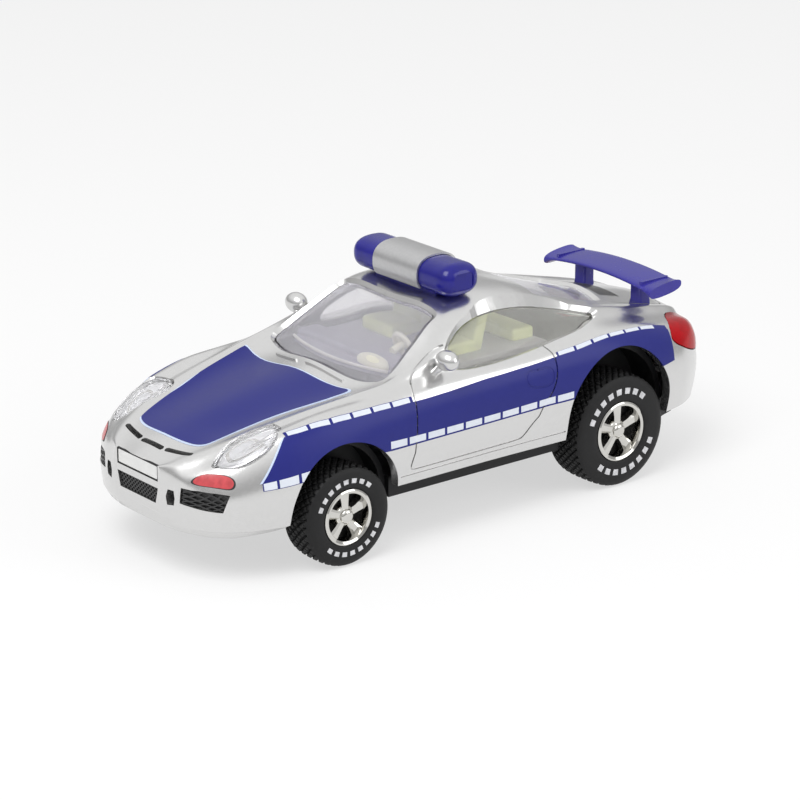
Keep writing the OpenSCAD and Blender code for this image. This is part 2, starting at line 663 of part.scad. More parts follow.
// Steering wheel on a column that meets the dashboard
column = 0.45;
rim_thickness = 0.6;
column_lean = 110;
column_length = 1.6;
arm = [0.5, 0.3];
module steering_wheel() {
    r = steering_diameter / 2 - rim_thickness / 2;
    hub_at = [place_x(tub_front) - dash_depth - seat_gap, place_y(seat_y), tub_top + dash_height];
    color("lightgoldenrodyellow") difference() {
        translate(hub_at) rotate([0, column_lean, 0]) translate([0, 0, -column_length]) {
            rotate_extrude() translate([r, 0]) circle(d = rim_thickness, $fn = 20);
            for (a = [90, 210, 330]) rotate(a) translate([0, -arm.x / 2, -arm.y / 2]) cube([r, arm.x, arm.y]);
            cylinder(r = column, h = 2 * column_length);
        }
        translate(hub_at - [0, steering_diameter, steering_diameter]) cube(2 * steering_diameter);
    }
}

// Chassis: floor, wheel houses, front axle blocks and an opening for the motor
well_gap = 0.7;
front_well = front_r + well_gap + liner_wall;
rear_well = rear_r + well_gap + liner_wall;
well_rise = 0.8;
front_well_at = [front_x, front_r + well_rise * front_arch_rise];
rear_well_at = [rear_x, rear_r + well_rise * rear_arch_rise];
well_front = place_y(along(sill_y, 28.2)) - wall - floor_margin;
well_rear = place_y(along(sill_y, -29.2)) - wall - floor_margin;
screw_at = [place_x(30.2), place_x(-33.4)];
head_diameter = screw_diameter + 1.4;
head_height = 0.8;
thread = 3;
boss_wall = 1.1;
motor_gap = 0.2;
function floor_edge(x, extra) = [place_x(x), place_y(along(sill_y, x)) - wall - floor_margin - extra];
mid_half = place_y(14.6) - wall - floor_margin;
front_floor = [floor_edge(35.3, 2.4), floor_edge(34.2, 1.5), floor_edge(32.5, 1), floor_edge(30.5, 0.6),
    [front_x + front_well, floor_edge(28.4, 0.4).y]];
rear_floor = [[rear_x - rear_well, floor_edge(-29.2, 0.4).y], floor_edge(-31.5, 0.7), floor_edge(-33.5, 1.2),
    floor_edge(-35.4, 2.2)];
floor_half = concat(front_floor, [[front_x + front_well, front_liner], [front_x - front_well, front_liner],
    [front_x - front_well, mid_half], [rear_x + rear_well, mid_half], [rear_x + rear_well, rear_liner],
    [rear_x - rear_well, rear_liner]], rear_floor);
block_width = 2.4;
block_half = 2;
block_wall = 1.2;
axle_room = 1;
module wheel_house(at, well, liner, out) {
    difference() {
        across(liner - liner_wall, out) arch(at, well);
        across(liner, out + past) arch(at, well - liner_wall);
        translate([at.x - 2 * well, 0, floor_bottom - 4 * well]) cube([4 * well, 2 * out, 4 * well]);
    }
}
module chassis() {
    hole_front = motor_front + motor_gap;
    hole_rear = motor_rear - motor_gap;
    hole_half = case_half + motor_gap;
    block_bottom = front_r - front_axle_diameter / 2 - block_wall;
    color("black") difference() {
        union() {
            translate([0, 0, floor_bottom]) linear_extrude(floor_thickness)
                polygon(concat(floor_half, [for (i = [len(floor_half) - 1 : -1 : 0])
                    [floor_half[i].x, -floor_half[i].y]]));
            for (side = [0, 1]) mirror([0, side, 0]) {
                wheel_house(front_well_at, front_well, front_liner, well_front);
                wheel_house(rear_well_at, rear_well, rear_liner, well_rear);
                translate([front_x - block_half, front_liner - liner_wall - block_width, block_bottom])
                    cube([2 * block_half, block_width, floor_top - block_bottom]);
            }
        }
        translate([hole_rear, -hole_half, floor_bottom - past])
            cube([hole_front - hole_rear, 2 * hole_half, floor_thickness + 2 * past]);
        across(-front_face, front_face) translate([front_x, front_r])
            circle(d = front_axle_diameter + 2 * run_gap);
        across(-rear_face, rear_face) translate(axle_at) circle(d = rear_axle_diameter + axle_room);
        for (x = screw_at) translate([x, 0, 0]) {
            cylinder(d = screw_diameter + 2 * seat_gap, h = 3 * floor_top);
            cylinder(d = head_diameter + 2 * seat_gap, h = floor_bottom + head_height + seat_gap);
        }
        for (p = motor_screw_at) translate([p.x, p.y, floor_bottom - past])
            cylinder(d = screw_diameter + 2 * seat_gap, h = floor_thickness + 2 * past);
    }
}
module screw_bosses() {
    for (x = screw_at) translate([x, 0, floor_top + seat_gap]) difference() {
        cylinder(d = screw_diameter + 2 * boss_wall, h = body_height);
        translate([0, 0, -past])
            cylinder(d = screw_diameter + 2 * seat_gap, h = thread + 2 * past);
    }
}
// Two screws from below into the shell, two from above that hold the motor
module chassis_screws() {
    shank = floor_thickness + ear_thickness + 2 * seat_gap;
    color("dimgray") {
        for (x = screw_at) translate([x, 0, floor_bottom]) {
            cylinder(d = head_diameter, h = head_height);
            cylinder(d = screw_diameter, h = floor_thickness + thread);
        }
        for (p = motor_screw_at) translate([p.x, p.y, floor_bottom]) {
            cylinder(d = screw_diameter, h = shank + seat_gap);
            translate([0, 0, shank]) cylinder(d = head_diameter, h = head_height);
        }
    }
}

// Motor case in two halves with bores for the shafts and ears on the floor
front_ear = motor_front - ear_overlap;
rear_ear = motor_rear + 2 * ear_overlap;
ear_side = 0.45 * case_half;
ear_start = 0.6;
motor_screw_at = [[motor_front + ear_reach / 2, ear_side], [motor_rear - ear_reach / 2, -ear_side]];
case_sides = 32;
module case_outline(less) {
    hull() {
        translate(axle_at) circle(axle_case - less, $fn = case_sides);
        translate(transfer_at) circle(transfer_case - less, $fn = case_sides);
        translate(spring_at) circle(spring_case - less, $fn = case_sides);
    }
}
module shaft_bores() {
    across(-case_half - past, case_half + past) {
        translate(axle_at) circle(d = rear_axle_diameter + 2 * run_gap);
        translate(transfer_at) circle(d = transfer_shaft_diameter + 2 * run_gap);
        translate(spring_at) circle(d = spring_shaft_diameter + 2 * run_gap);
    }
}
module ears(y0, y1) {
    z0 = floor_top + seat_gap;
    translate([front_ear, y0, z0]) cube([ear_reach + ear_overlap, y1 - y0, ear_thickness]);
    translate([motor_rear - ear_reach, y0, z0])
        cube([rear_ear - motor_rear + ear_reach, y1 - y0, ear_thickness]);
}
module ear_holes() {
    for (p = motor_screw_at) translate([p.x, p.y, floor_top - past])
        cylinder(d = screw_diameter + 2 * seat_gap, h = ear_thickness + 2 * past);
}
module motor_case_left() {
    color("dimgray") difference() {
        union() {
            difference() {
                across(case_split, case_half) case_outline(0);
                across(case_split - past, case_half - case_wall) case_outline(case_wall);
            }
            ears(case_split + ear_start, case_split + ear_start + ear_width);
        }
        shaft_bores();
        ear_holes();
    }
}
module motor_case_right() {
    color("dimgray") difference() {
        union() {
            difference() {
                across(-case_half, case_split - seat_gap) case_outline(0);
                across(-case_half + case_wall, case_split + past) case_outline(case_wall);
            }
            ears(case_split - ear_start - ear_width, case_split - ear_start);
        }
        shaft_bores();
        ear_holes();
    }
}

// Mainspring: one flat spiral ribbon around its shaft
spring_inner = spring_shaft_diameter / 2 + 0.7;
spring_outer = spring_case - case_wall - 0.5;
spring_y = [-case_half + case_wall + 0.2, case_split - 1];
spiral_steps = 20;
module mainspring() {
    n = spring_turns * spiral_steps;
    function coil(i, side) =
        let (r = mix(spring_inner, spring_outer, i / n) + side * ribbon / 2, t = 360 * i / spiral_steps)
        spring_at + r * [cos(t), sin(t)];
    color("steelblue") across(spring_y[0], spring_y[1])
        polygon(concat([for (i = [0 : n]) coil(i, 1)], [for (i = [n : -1 : 0]) coil(i, -1)]));
}

// Involute gear drawn in x and z, first tooth along the turn angle
pressure = 25;
flank_steps = 3;
function involute(a) = tan(a) * 180 / PI - a;
module gear(teeth, turn, bore) {
    rp = pitch_r(teeth);
    rb = rp * cos(pressure);
    ra = tip_r(teeth);
    rf = rp - dedendum;
    half_pitch = 90 / teeth - backlash / (4 * rp) * 180 / PI;
    low = max(rb, rf) + 0.001;
    function half_at(r) = half_pitch + involute(pressure) - involute(acos(rb / r));
    function polar(r, a) = r * [cos(a), sin(a)];
    flank = [for (i = [0 : flank_steps]) let (r = mix(low, ra, i / flank_steps)) [r, half_at(r)]];
    root = half_at(low);
    points = [for (k = [0 : teeth - 1]) let (m = turn + 360 * k / teeth)
        each concat([polar(rf, m - root)], [for (f = flank) polar(f[0], m - f[1])],
            [for (i = [flank_steps : -1 : 0]) polar(flank[i][0], m + flank[i][1])],
            [polar(rf, m + root)])];
    difference() {
        polygon(points);
        circle(bore);
    }
}
back_turn = transfer_climb + 180;
press_gap = 0.01;
module axle_pinion() {
    color("gold") across(first_row[0], first_row[1])
        translate(axle_at) gear(axle_teeth, transfer_climb, rear_axle_diameter / 2 + press_gap);
}
module transfer_gear() {
    bore = transfer_shaft_diameter / 2 + press_gap;
    color("ivory") {
        across(first_row[0], first_row[1])
            translate(transfer_at) gear(transfer_teeth, back_turn + 180 / transfer_teeth, bore);
        across(second_row[0], first_row[0])
            translate(transfer_at) gear(pinion_teeth, 0, bore);
    }
}
module spring_wheel() {
    color("ivory") across(second_row[0], second_row[1])
        translate(spring_at)
            gear(spring_teeth, 180 + 180 / spring_teeth, spring_shaft_diameter / 2 + press_gap);
}
module transfer_shaft() {
    color("lightgray") across(-case_half, case_half)
        translate(transfer_at) circle(d = transfer_shaft_diameter);
}
module spring_shaft() {
    color("lightgray") across(-case_half, case_half)
        translate(spring_at) circle(d = spring_shaft_diameter);
}

// Axles end inside the hubs
hub_face = 1.2;
module rear_axle() {
    color("lightgray") across(-rear_face + hub_face, rear_face - hub_face)
        translate(axle_at) circle(d = rear_axle_diameter);
}
module front_axle() {
    color("lightgray") across(-front_face + hub_face, front_face - hub_face)
        translate([front_x, front_r]) circle(d = front_axle_diameter);
}

// Rim: drawn around z, outer face at z = 0
rim_wall = 0.45;
hub_r = 1.35;
cap_r = 0.8;
spoke_top = 0.3;
spoke_bottom = 1;
web_depth = 2.2;
web_thickness = 0.6;
rim_inset = 0.1;
cap_height = 0.35;
cap_taper = 0.75;
spoke_half = [0.5, 0.75];
module rim(d, width, bore) {
    r = d / 2;
    difference() {
        union() {
            rotate_extrude() translate([r - rim_wall, -width + rim_inset])
                square([rim_wall, width - 2 * rim_inset]);
            translate([0, 0, -web_depth - web_thickness]) cylinder(r = r - rim_wall / 2, h = web_thickness);
            translate([0, 0, -width + rim_inset]) cylinder(r = hub_r, h = width - rim_inset - spoke_top);
            translate([0, 0, -spoke_top - rim_inset])
                cylinder(r1 = cap_r, r2 = cap_r * cap_taper, h = cap_height);
            for (k = [0 : spokes - 1]) rotate(90 + 360 * k / spokes)
                translate([0, 0, -spoke_bottom]) linear_extrude(spoke_bottom - spoke_top)
                    polygon([[hub_r / 2, -spoke_half[0]], [r - rim_wall / 2, -spoke_half[1]],
                        [r - rim_wall / 2, spoke_half[1]], [hub_r / 2, spoke_half[0]]]);
        }
        translate([0, 0, -width - past]) cylinder(r = bore, h = width + past - hub_face + press_gap);
    }
}
// Tyre: revolved section with shoulders, and a ring of lugs at each shoulder
bead = [0.3, 0.25];
shoulder = 0.9;
shoulder_round = [0.2, 0.27];
lug_start = 0.63;
lug_length = 1.17;
lug_share = 0.6;
lug_root = 0.3;
rib_gap = 0.35;
function lug_corner(r, k) = r * [cos(360 * k / lugs), sin(360 * k / lugs)];
module lug_ring(r, core) {
    low = core - lug_root / 2;
    difference() {
        polygon([for (k = [0 : lugs - 1]) each [lug_corner(r, k), lug_corner(r, k + lug_share),
            lug_corner(low, k + lug_share), lug_corner(low, k + 1)]]);
        circle(core - lug_root);
    }
}
module tyre(d, width, inner) {
    r = d / 2;
    core = r - tread;
    rib = lug_start + lug_length + rib_gap;
    face = [[inner, -bead.y], [inner + bead.x, 0], [core - shoulder, 0],
        [core - shoulder_round.x, -shoulder_round.y], [core, -lug_start], [core, -rib], [r, -rib]];
    back = [for (i = [len(face) - 1 : -1 : 0]) [face[i].x, -width - face[i].y]];
    rotate_extrude() polygon(concat(face, back));
    for (z = [-lug_start - lug_length, -width + lug_start]) translate([0, 0, z])
        linear_extrude(lug_length) lug_ring(r, core);
}
module on_axle(x, z, face) {
    translate([x, face, z]) rotate([-90, 0, 0]) children();
}
module front_rim_left() {
    color("whitesmoke") on_axle(front_x, front_r, front_face)
        rim(front_rim, front_tyre_width, front_axle_diameter / 2 + press_gap);
}
module front_rim_right() {
    right_side() front_rim_left();
}
module front_tyre_left() {
    color("black") on_axle(front_x, front_r, front_face)
        tyre(front_tyre, front_tyre_width, front_rim / 2 + press_gap);
}
module front_tyre_right() {
    right_side() front_tyre_left();
}
module rear_rim_left() {
    color("whitesmoke") on_axle(rear_x, rear_r, rear_face)
        rim(rear_rim, rear_tyre_width, rear_axle_diameter / 2 + press_gap);
}
module rear_rim_right() {
    right_side() rear_rim_left();
}
module rear_tyre_left() {
    color("black") on_axle(rear_x, rear_r, rear_face)
        tyre(rear_tyre, rear_tyre_width, rear_rim / 2 + press_gap);
}
module rear_tyre_right() {
    right_side() rear_tyre_left();
}

body_shell();
windscreen();
rear_window();
side_window_left();
side_window_right();
headlight_bowl_left();
headlight_bowl_right();
headlight_lens_left();
headlight_lens_right();
tail_lamp_left();
tail_lamp_right();
front_grille();
number_plate();
light_bar();
light_bar_cover();
rear_wing();
mirror_left();
mirror_right();
cabin_tub();
steering_wheel();
chassis();
chassis_screws();
motor_case_left();
motor_case_right();
mainspring();
spring_wheel();
spring_shaft();
transfer_gear();
transfer_shaft();
axle_pinion();
rear_axle();
front_axle();
front_rim_left();
front_rim_right();
front_tyre_left();
front_tyre_right();
rear_rim_left();
rear_rim_right();
rear_tyre_left();
rear_tyre_right();
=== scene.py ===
"""Looks of the toy police car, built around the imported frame. Sizes in mm until a mesh is made."""
import math

import bmesh
import bpy
import numpy as np
from mathutils import Matrix, Vector


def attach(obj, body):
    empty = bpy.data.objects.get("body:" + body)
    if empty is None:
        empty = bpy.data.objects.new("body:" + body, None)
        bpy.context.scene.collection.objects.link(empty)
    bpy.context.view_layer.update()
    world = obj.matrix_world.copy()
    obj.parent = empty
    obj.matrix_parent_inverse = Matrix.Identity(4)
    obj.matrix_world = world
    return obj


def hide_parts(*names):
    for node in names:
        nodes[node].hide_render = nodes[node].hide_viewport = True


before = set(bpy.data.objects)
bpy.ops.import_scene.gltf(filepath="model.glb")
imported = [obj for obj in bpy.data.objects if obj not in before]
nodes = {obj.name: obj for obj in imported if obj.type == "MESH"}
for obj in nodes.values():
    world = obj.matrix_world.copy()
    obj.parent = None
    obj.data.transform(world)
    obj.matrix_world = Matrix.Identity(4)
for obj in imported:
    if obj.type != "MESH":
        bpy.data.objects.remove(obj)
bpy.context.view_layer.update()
MM = 0.001

# Lines of the shell: place along the car, then half width, height or both
LINES = {
    "sill_y": [(-37.2, 5), (-36.9, 6.6), (-36.3, 8.6), (-35, 10.6), (-33, 12.3), (-30, 13.8), (-26, 14.7),
               (-20, 15.1), (-11, 14.8), (0, 14.6), (13, 14.7), (20, 14.7), (25, 14.4), (28.5, 13.9),
               (31.5, 12.9), (33.6, 11.7), (35.2, 10), (36.3, 7.8), (36.9, 5.8), (37.2, 4.2)],
    "sill_z": [(-37.2, 9.4), (-36.9, 8.4), (-36.3, 7.6), (-35, 7.4), (-28, 7.5), (-12, 7.6), (12.5, 7.6),
               (14, 7.4), (24, 6.5), (28, 6.2), (35, 6.2), (36.3, 6.3), (36.9, 6.6), (37.2, 7.1)],
    "side_y": [(-37.2, 5.4), (-36.9, 7.2), (-36.3, 9.2), (-35, 11.3), (-33, 13), (-30, 14.5), (-26, 15.3),
               (-20, 15.7), (-13, 15.4), (-7, 15.1), (0, 15), (8, 15), (15, 15.2), (20, 15.35),
               (25, 15.05), (28.5, 14.5), (31.5, 13.5), (33.6, 12.3), (35.2, 10.5), (36.3, 8.2),
               (36.9, 6.2), (37.2, 4.6)],
    "side_z": [(-37.2, 12), (-30, 12), (-20, 12.4), (-10, 11.6), (8, 11.2), (20, 11), (30, 10),
               (37.2, 9.6)],
    "crown": [(-37.2, 5, 14), (-36.8, 6.8, 14.8), (-35.5, 9.2, 15.6), (-33, 10.9, 16.4), (-29, 12.3, 17.3),
              (-24, 13.2, 18.2), (-18, 13.9, 18.6), (-12, 14.1, 18.2), (-6, 14.1, 17.7), (0, 14, 17.5),
              (8, 13.8, 17.5), (14, 13.2, 17.6), (20, 12.4, 17.4), (26, 11.9, 16.4), (29.5, 11.4, 15.2),
              (32, 10.9, 14), (34.5, 9.6, 12.6), (36.3, 7.6, 11.6), (37.2, 4.6, 11)],
    "belt": [(-37.2, 4.4, 14.4), (-36.8, 5.6, 15.2), (-35.5, 7.2, 16.2), (-32, 8.4, 17.2),
             (-27, 9.3, 18.3), (-22, 10.1, 19.2), (-17, 10.9, 19.8), (-13, 11.6, 19.8), (-8, 12.3, 19.3),
             (-2, 12.7, 18.9), (5, 12.75, 18.65), (11, 12.5, 18.35), (14, 12.2, 18), (20, 11.2, 17.1),
             (26, 10.4, 16), (29.5, 9.8, 15), (32, 9.3, 14), (34.5, 8.2, 13.1), (36.3, 6.6, 12.3),
             (37.2, 4.4, 11.9)],
    "rail": [(-37.2, 3.4, 14.8), (-36.8, 4.2, 15.6), (-35.8, 5.2, 16.7), (-32, 6.1, 17.8),
             (-26, 6.9, 19.1), (-20, 7.8, 20.5), (-14, 8.7, 22.1), (-9, 9.3, 23.3), (-4, 9.6, 23.75),
             (0, 9.55, 23.6), (3, 9.6, 23), (7, 10.35, 20.9), (11, 11, 18.8), (12.5, 11, 18.25),
             (16, 10.4, 17.6), (22, 9.2, 16.6), (28, 7.6, 15.3), (32, 6.3, 14.3), (35, 5, 13.35),
             (36.3, 4.4, 12.75), (37.2, 3.6, 12.3)],
    "top_z": [(-37.2, 15), (-36.9, 16.2), (-36, 17.1), (-34, 17.75), (-30, 18.75), (-26, 19.85), (-22, 21),
              (-18, 22.2), (-13, 23.6), (-8, 24.6), (-3, 24.9), (1, 24.6), (3.2, 24.15), (6, 22.7),
              (9, 20.95), (12.6, 18.8), (13.2, 18.35), (16, 17.8), (20, 17.15), (25, 16.2), (30, 15),
              (34, 13.9), (35.1, 13.45), (36.5, 12.9), (37.2, 12.5)],
}
HALF = 37.2  # half length of the car
LAST = 7  # q at the sills
BULGE = 0.3  # of the side windows, between belt and rail
LOW_SIDE = np.array([0.7, 0.45])  # place of the low side between sill and side
WALL = 1.2
STEP_X = 0.05  # steps that give the shell's slope
STEP_Q = 0.02
SIDES = (("left", 1), ("right", -1))

# Wheels: distance of the axles from the middle of the car, and radii
AXLE_X = 20
FRONT_R = 5.75
REAR_R = 6.75


def unit(v):
    """Vectors of length 1 along the last axis."""
    return v / np.linalg.norm(v, axis=-1, keepdims=True)


# Shell as a smooth surface
def hermite(a, b, ta, tb, t):
    """Cubic from a to b with slopes ta and tb."""
    return (a * (1 - t) ** 2 * (1 + 2 * t) + ta * t * (1 - t) ** 2
            + b * t * t * (3 - 2 * t) - tb * t * t * (1 - t))


def along(name, x, column=1):
    """Smooth value of one of the shell's lines at x."""
    c = np.array(LINES[name], float)[:, [0, column]]
    d = np.diff(c[:, 1]) / np.diff(c[:, 0])
    same = d[:-1] * d[1:] > 0
    knots = np.zeros(len(c))
    knots[1:-1][same] = 2 * d[:-1][same] * d[1:][same] / (d[:-1] + d[1:])[same]
    knots[0], knots[-1] = d[0], d[-1]
    i = np.clip(np.searchsorted(c[:, 0], x, side="right") - 1, 0, len(c) - 2)
    run = c[i + 1, 0] - c[i, 0]
    return hermite(c[i, 1], c[i + 1, 1], run * knots[i], run * knots[i + 1], (x - c[i, 0]) / run)


def section(x):
    """Half outline at each x: eight points from sill to middle."""
    a, c = (np.stack([along(n + "_y", x), along(n + "_z", x)], -1) for n in ("sill", "side"))
    d, e, g = (np.stack([along(n, x, 1), along(n, x, 2)], -1) for n in ("crown", "belt", "rail"))
    b = a + LOW_SIDE * (c - a)
    run = g - e
    f = (e + g) / 2 + BULGE * unit(np.stack([run[:, 1], -run[:, 0]], -1))
    top = np.stack([np.zeros(len(x)), along("top_z", x)], -1)
    return np.stack([a, b, c, d, e, f, g, top], 1)


def surf(x, q):
    """Points of the shell; q runs from 7 at the left sill to -7 at the right one."""
    x, q = np.broadcast_arrays(np.asarray(x, float), np.asarray(q, float))
    shape, x, q = x.shape, x.ravel(), q.ravel()
    p = section(np.clip(x, -HALF, HALF))
    step = p[:, 1:] - p[:, :-1]
    chord = np.linalg.norm(step, axis=2)
    lean = np.zeros_like(p)
    lean[:, 0] = step[:, 0] / chord[:, 0, None]
    lean[:, LAST] = [-1, 0]
    before, after = chord[:, :-1, None], chord[:, 1:, None]
    lean[:, 1:-1] = (step[:, :-1] * after / before + step[:, 1:] * before / after) / (before + after)
    v = LAST - np.abs(q)
    i = np.clip(np.floor(v).astype(int), 0, LAST - 1)
    r = np.arange(len(x))
    d = chord[r, i][:, None]
    o = hermite(p[r, i], p[r, i + 1], d * lean[r, i], d * lean[r, i + 1], (v - i)[:, None])
    return np.stack([x, np.sign(q) * o[:, 0], o[:, 1]], -1).reshape(shape + (3,))


def skin(x, q, h):
    """Points at a height over the shell's face, negative inside it."""
    x, q = np.asarray(x, float), np.asarray(q, float)
    run = surf(np.minimum(x + STEP_X, HALF), q) - surf(np.maximum(x - STEP_X, -HALF), q)
    rise = surf(x, np.minimum(q + STEP_Q, LAST)) - surf(x, np.maximum(q - STEP_Q, -LAST))
    return surf(x, q) + h * unit(np.cross(run, rise))


def deck(x, y):
    """Height of the shell over a place on its upper part."""
    q = np.linspace(0, 4, 400)
    p = surf(np.full(len(q), x), q)
    return float(np.interp(abs(y), p[:, 1], p[:, 2]))


# Meshes: most functions give points in mm and faces
SHARP = 35  # degrees between faces from which an edge stays sharp
LINE_STEP = 0.35
GROOVE_HIGH = 0.4
GROOVE_TAPER = 0.6


def added(name, data):
    """New object in the scene."""
    ob = bpy.data.objects.new(name, data)
    bpy.context.scene.collection.objects.link(ob)
    return ob


def mesh(name, points, faces, mat=None, angle=SHARP):
    """New object from points in mm; edges sharper than the angle stay sharp."""
    data = bpy.data.meshes.new(name)
    data.from_pydata([tuple(p) for p in np.asarray(points, float) * MM], [], faces)
    ob = added(name, data)
    tidy_normals(ob, angle)
    if mat:
        data.materials.append(mat)
    return ob


def tidy_normals(ob, angle):
    """Faces that look outward and shade smoothly up to an angle."""
    bm = bmesh.new()
    bm.from_mesh(ob.data)
    bmesh.ops.recalc_face_normals(bm, faces=bm.faces)
    for f in bm.faces:
        f.smooth = True
    for e in bm.edges:
        e.smooth = e.calc_face_angle(math.pi) < math.radians(angle)
    bm.to_mesh(ob.data)
    bm.free()


def circle(n):
    """n angles round a circle."""
    return np.linspace(0, 2 * math.pi, n + 1)[:-1]


def around(t):
    """Places on the unit circle at the angles t."""
    return np.stack([np.cos(t), np.sin(t)], -1)


def grid_faces(n, m, closed=False):
    """Quads between n rings of m points; closed joins last and first ring."""
    faces = []
    for i in range(n if closed else n - 1):
        here, there = i * m, (i + 1) % n * m
        for j in range(m):
            beside = (j + 1) % m
            faces.append((here + j, here + beside, there + beside, there + j))
    return faces


def loft(rings):
    """Closed solid through equal rings."""
    n, m = rings.shape[:2]
    pts = np.concatenate([rings.reshape(-1, 3), rings[0].mean(0)[None], rings[-1].mean(0)[None]])
    faces = grid_faces(n, m)
    first, end = n * m, n * m + 1
    far = (n - 1) * m
    faces += [(first, (j + 1) % m, j) for j in range(m)]
    faces += [(end, far + j, far + (j + 1) % m) for j in range(m)]
    return pts, faces


def chaikin(loop, times, closed=True):
    """Rounds a line by cutting its corners a quarter along each side."""
    p = np.asarray(loop, float)
    for _ in range(times):
        nxt = np.roll(p, -1, 0) if closed else p[1:]
        cur = p if closed else p[:-1]
        mixed = np.stack([0.75 * cur + 0.25 * nxt, 0.25 * cur + 0.75 * nxt], 1).reshape(-1, 2)
        p = mixed if closed else np.concatenate([p[:1], mixed, p[-1:]])
    return p


def inset(loop, share):
    """Loop scaled about its middle."""
    loop = np.asarray(loop, float)
    middle = (loop.min(0) + loop.max(0)) / 2
    return middle + (loop - middle) * share


def patch_mesh(loop, top, bottom, rings=9, times=2, dome=0.0):
    """Closed plate between two heights over the shell, inside a loop of places (x, q)."""
    p = chaikin(loop, times)
    middle = p.mean(0)
    m = len(p)
    k = np.linspace(1, 0, rings + 1)[:-1]
    x, q = np.moveaxis(middle + (p - middle)[None] * k[:, None, None], 2, 0)
    flat = skin(x, q, 0)
    out = skin(x, q, 1) - flat
    pts = []
    for h, rise in ((top, dome), (bottom, 0.0)):
        pts.append((flat + (h + rise * (1 - k * k))[:, None, None] * out).reshape(-1, 3))
        pts.append(skin(*middle, h + rise).reshape(1, 3))
    size = rings * m + 1
    faces = grid_faces(rings, m)
    faces += [((rings - 1) * m + j, (rings - 1) * m + (j + 1) % m, rings * m) for j in range(m)]
    faces += [tuple(size + v for v in reversed(f)) for f in faces]
    faces += [(j, size + j, size + (j + 1) % m, (j + 1) % m) for j in range(m)]
    return np.concatenate(pts), faces


def grown(loop, d, per_q):
    """Loop moved out by d mm; per_q is the size of one step of q there."""
    p = np.asarray(loop, float) * [1, per_q]
    way = np.roll(p, -1, 0) - np.roll(p, 1, 0)
    out = unit(np.stack([way[:, 1], -way[:, 0]], -1))
    turn = np.sum(p[:, 0] * np.roll(p[:, 1], -1) - p[:, 1] * np.roll(p[:, 0], -1))
    return (p + out * d * np.sign(turn)) / [1, per_q]


def flare_mesh(loop, top, bottom, wider, per_q):
    """Cutter like a plate, wider at its top by some mm."""
    wide, faces = patch_mesh(grown(loop, wider, per_q), top, bottom)
    near, _ = patch_mesh(loop, top, bottom)
    half = len(wide) // 2
    return np.concatenate([wide[:half], near[half:]]), faces


def strip_mesh(low, high, top, bottom, steps):
    """Closed plate between two heights over the shell and two lines of places (x, q)."""
    low, high = np.asarray(low, float), np.asarray(high, float)
    t = np.linspace(0, 1, steps + 1)[None, :, None]
    places = low[:, None] * (1 - t) + high[:, None] * t
    x, q = places[..., 0], places[..., 1]
    rings = np.concatenate([skin(x, q, top), skin(x, q, bottom)[:, ::-1]], 1)
    n, m = rings.shape[:2]
    faces = grid_faces(n, m)
    for base, flip in ((0, False), ((n - 1) * m, True)):
        for j in range(steps):
            f = (base + j, base + j + 1, base + m - 2 - j, base + m - 1 - j)
            faces.append(f if flip else f[::-1])
    return rings.reshape(-1, 3), faces


def polyline(points):
    """Line of places (x, q) with places added about a step apart."""
    p = np.asarray(points, float)
    out = [p[:1]]
    for a, b in zip(p[:-1], p[1:]):
        d = np.linalg.norm(surf(*b) - surf(*a))
        n = max(1, int(math.ceil(d / LINE_STEP)))
        out.append(a + (b - a) * (np.arange(1, n + 1) / n)[:, None])
    return np.concatenate(out)


def groove_mesh(points, width, depth):
    """Thin cutter along a line on the shell, narrower at its foot."""
    line = polyline(chaikin(points, 2, closed=False))
    p = surf(*line.T)
    n = skin(*line.T, 1) - p
    side = unit(np.cross(n, np.gradient(p, axis=0))) * width / 2
    head, foot = p + n * GROOVE_HIGH, p - n * depth
    near = side * GROOVE_TAPER
    return loft(np.stack([head - side, head + side, foot + near, foot - near], 1))


def mirrored(data):
    pts, faces = data
    return np.asarray(pts) * [1, -1, 1], [f[::-1] for f in faces]


def on_side(data, sign):
    """Left side's shape, mirrored where the sign is -1."""
    return data if sign > 0 else mirrored(data)


def both(data):
    return [data, mirrored(data)]


def joined(parts):
    """Several solids as one set of points and faces."""
    pts, faces, base = [], [], 0
    for p, f in parts:
        pts.append(p)
        faces += [tuple(v + base for v in face) for face in f]
        base += len(p)
    return np.concatenate(pts), faces


def prism(outline, axis, low, high):
    """Closed prism over a flat outline, along one axis."""
    outline = np.asarray(outline, float)
    return loft(np.stack([np.insert(outline, axis, at, axis=1) for at in (low, high)]))


def rectangle(low, high):
    return [low, (high[0], low[1]), high, (low[0], high[1])]


def round_rect(w, h, r, n=6):
    """Outline of a rectangle with round corners about the origin."""
    pts = []
    for k, (sx, sy) in enumerate(((1, 1), (-1, 1), (-1, -1), (1, -1))):
        t = np.radians(90 * k + np.linspace(0, 90, n))
        pts.append([sx * (w / 2 - r), sy * (h / 2 - r)] + r * around(t))
    return np.concatenate(pts)


def slot_prism(a, b, width, low, high):
    """Round-ended slot between two places in x and y."""
    a, b = np.array(a, float), np.array(b, float)
    t = math.atan2(*(b - a)[::-1])
    ends = []
    for at, start in ((b, t - math.pi / 2), (a, t + math.pi / 2)):
        ends.append(at + width / 2 * around(start + np.linspace(0, math.pi, 9)))
    return prism(np.concatenate(ends), 2, low, high)


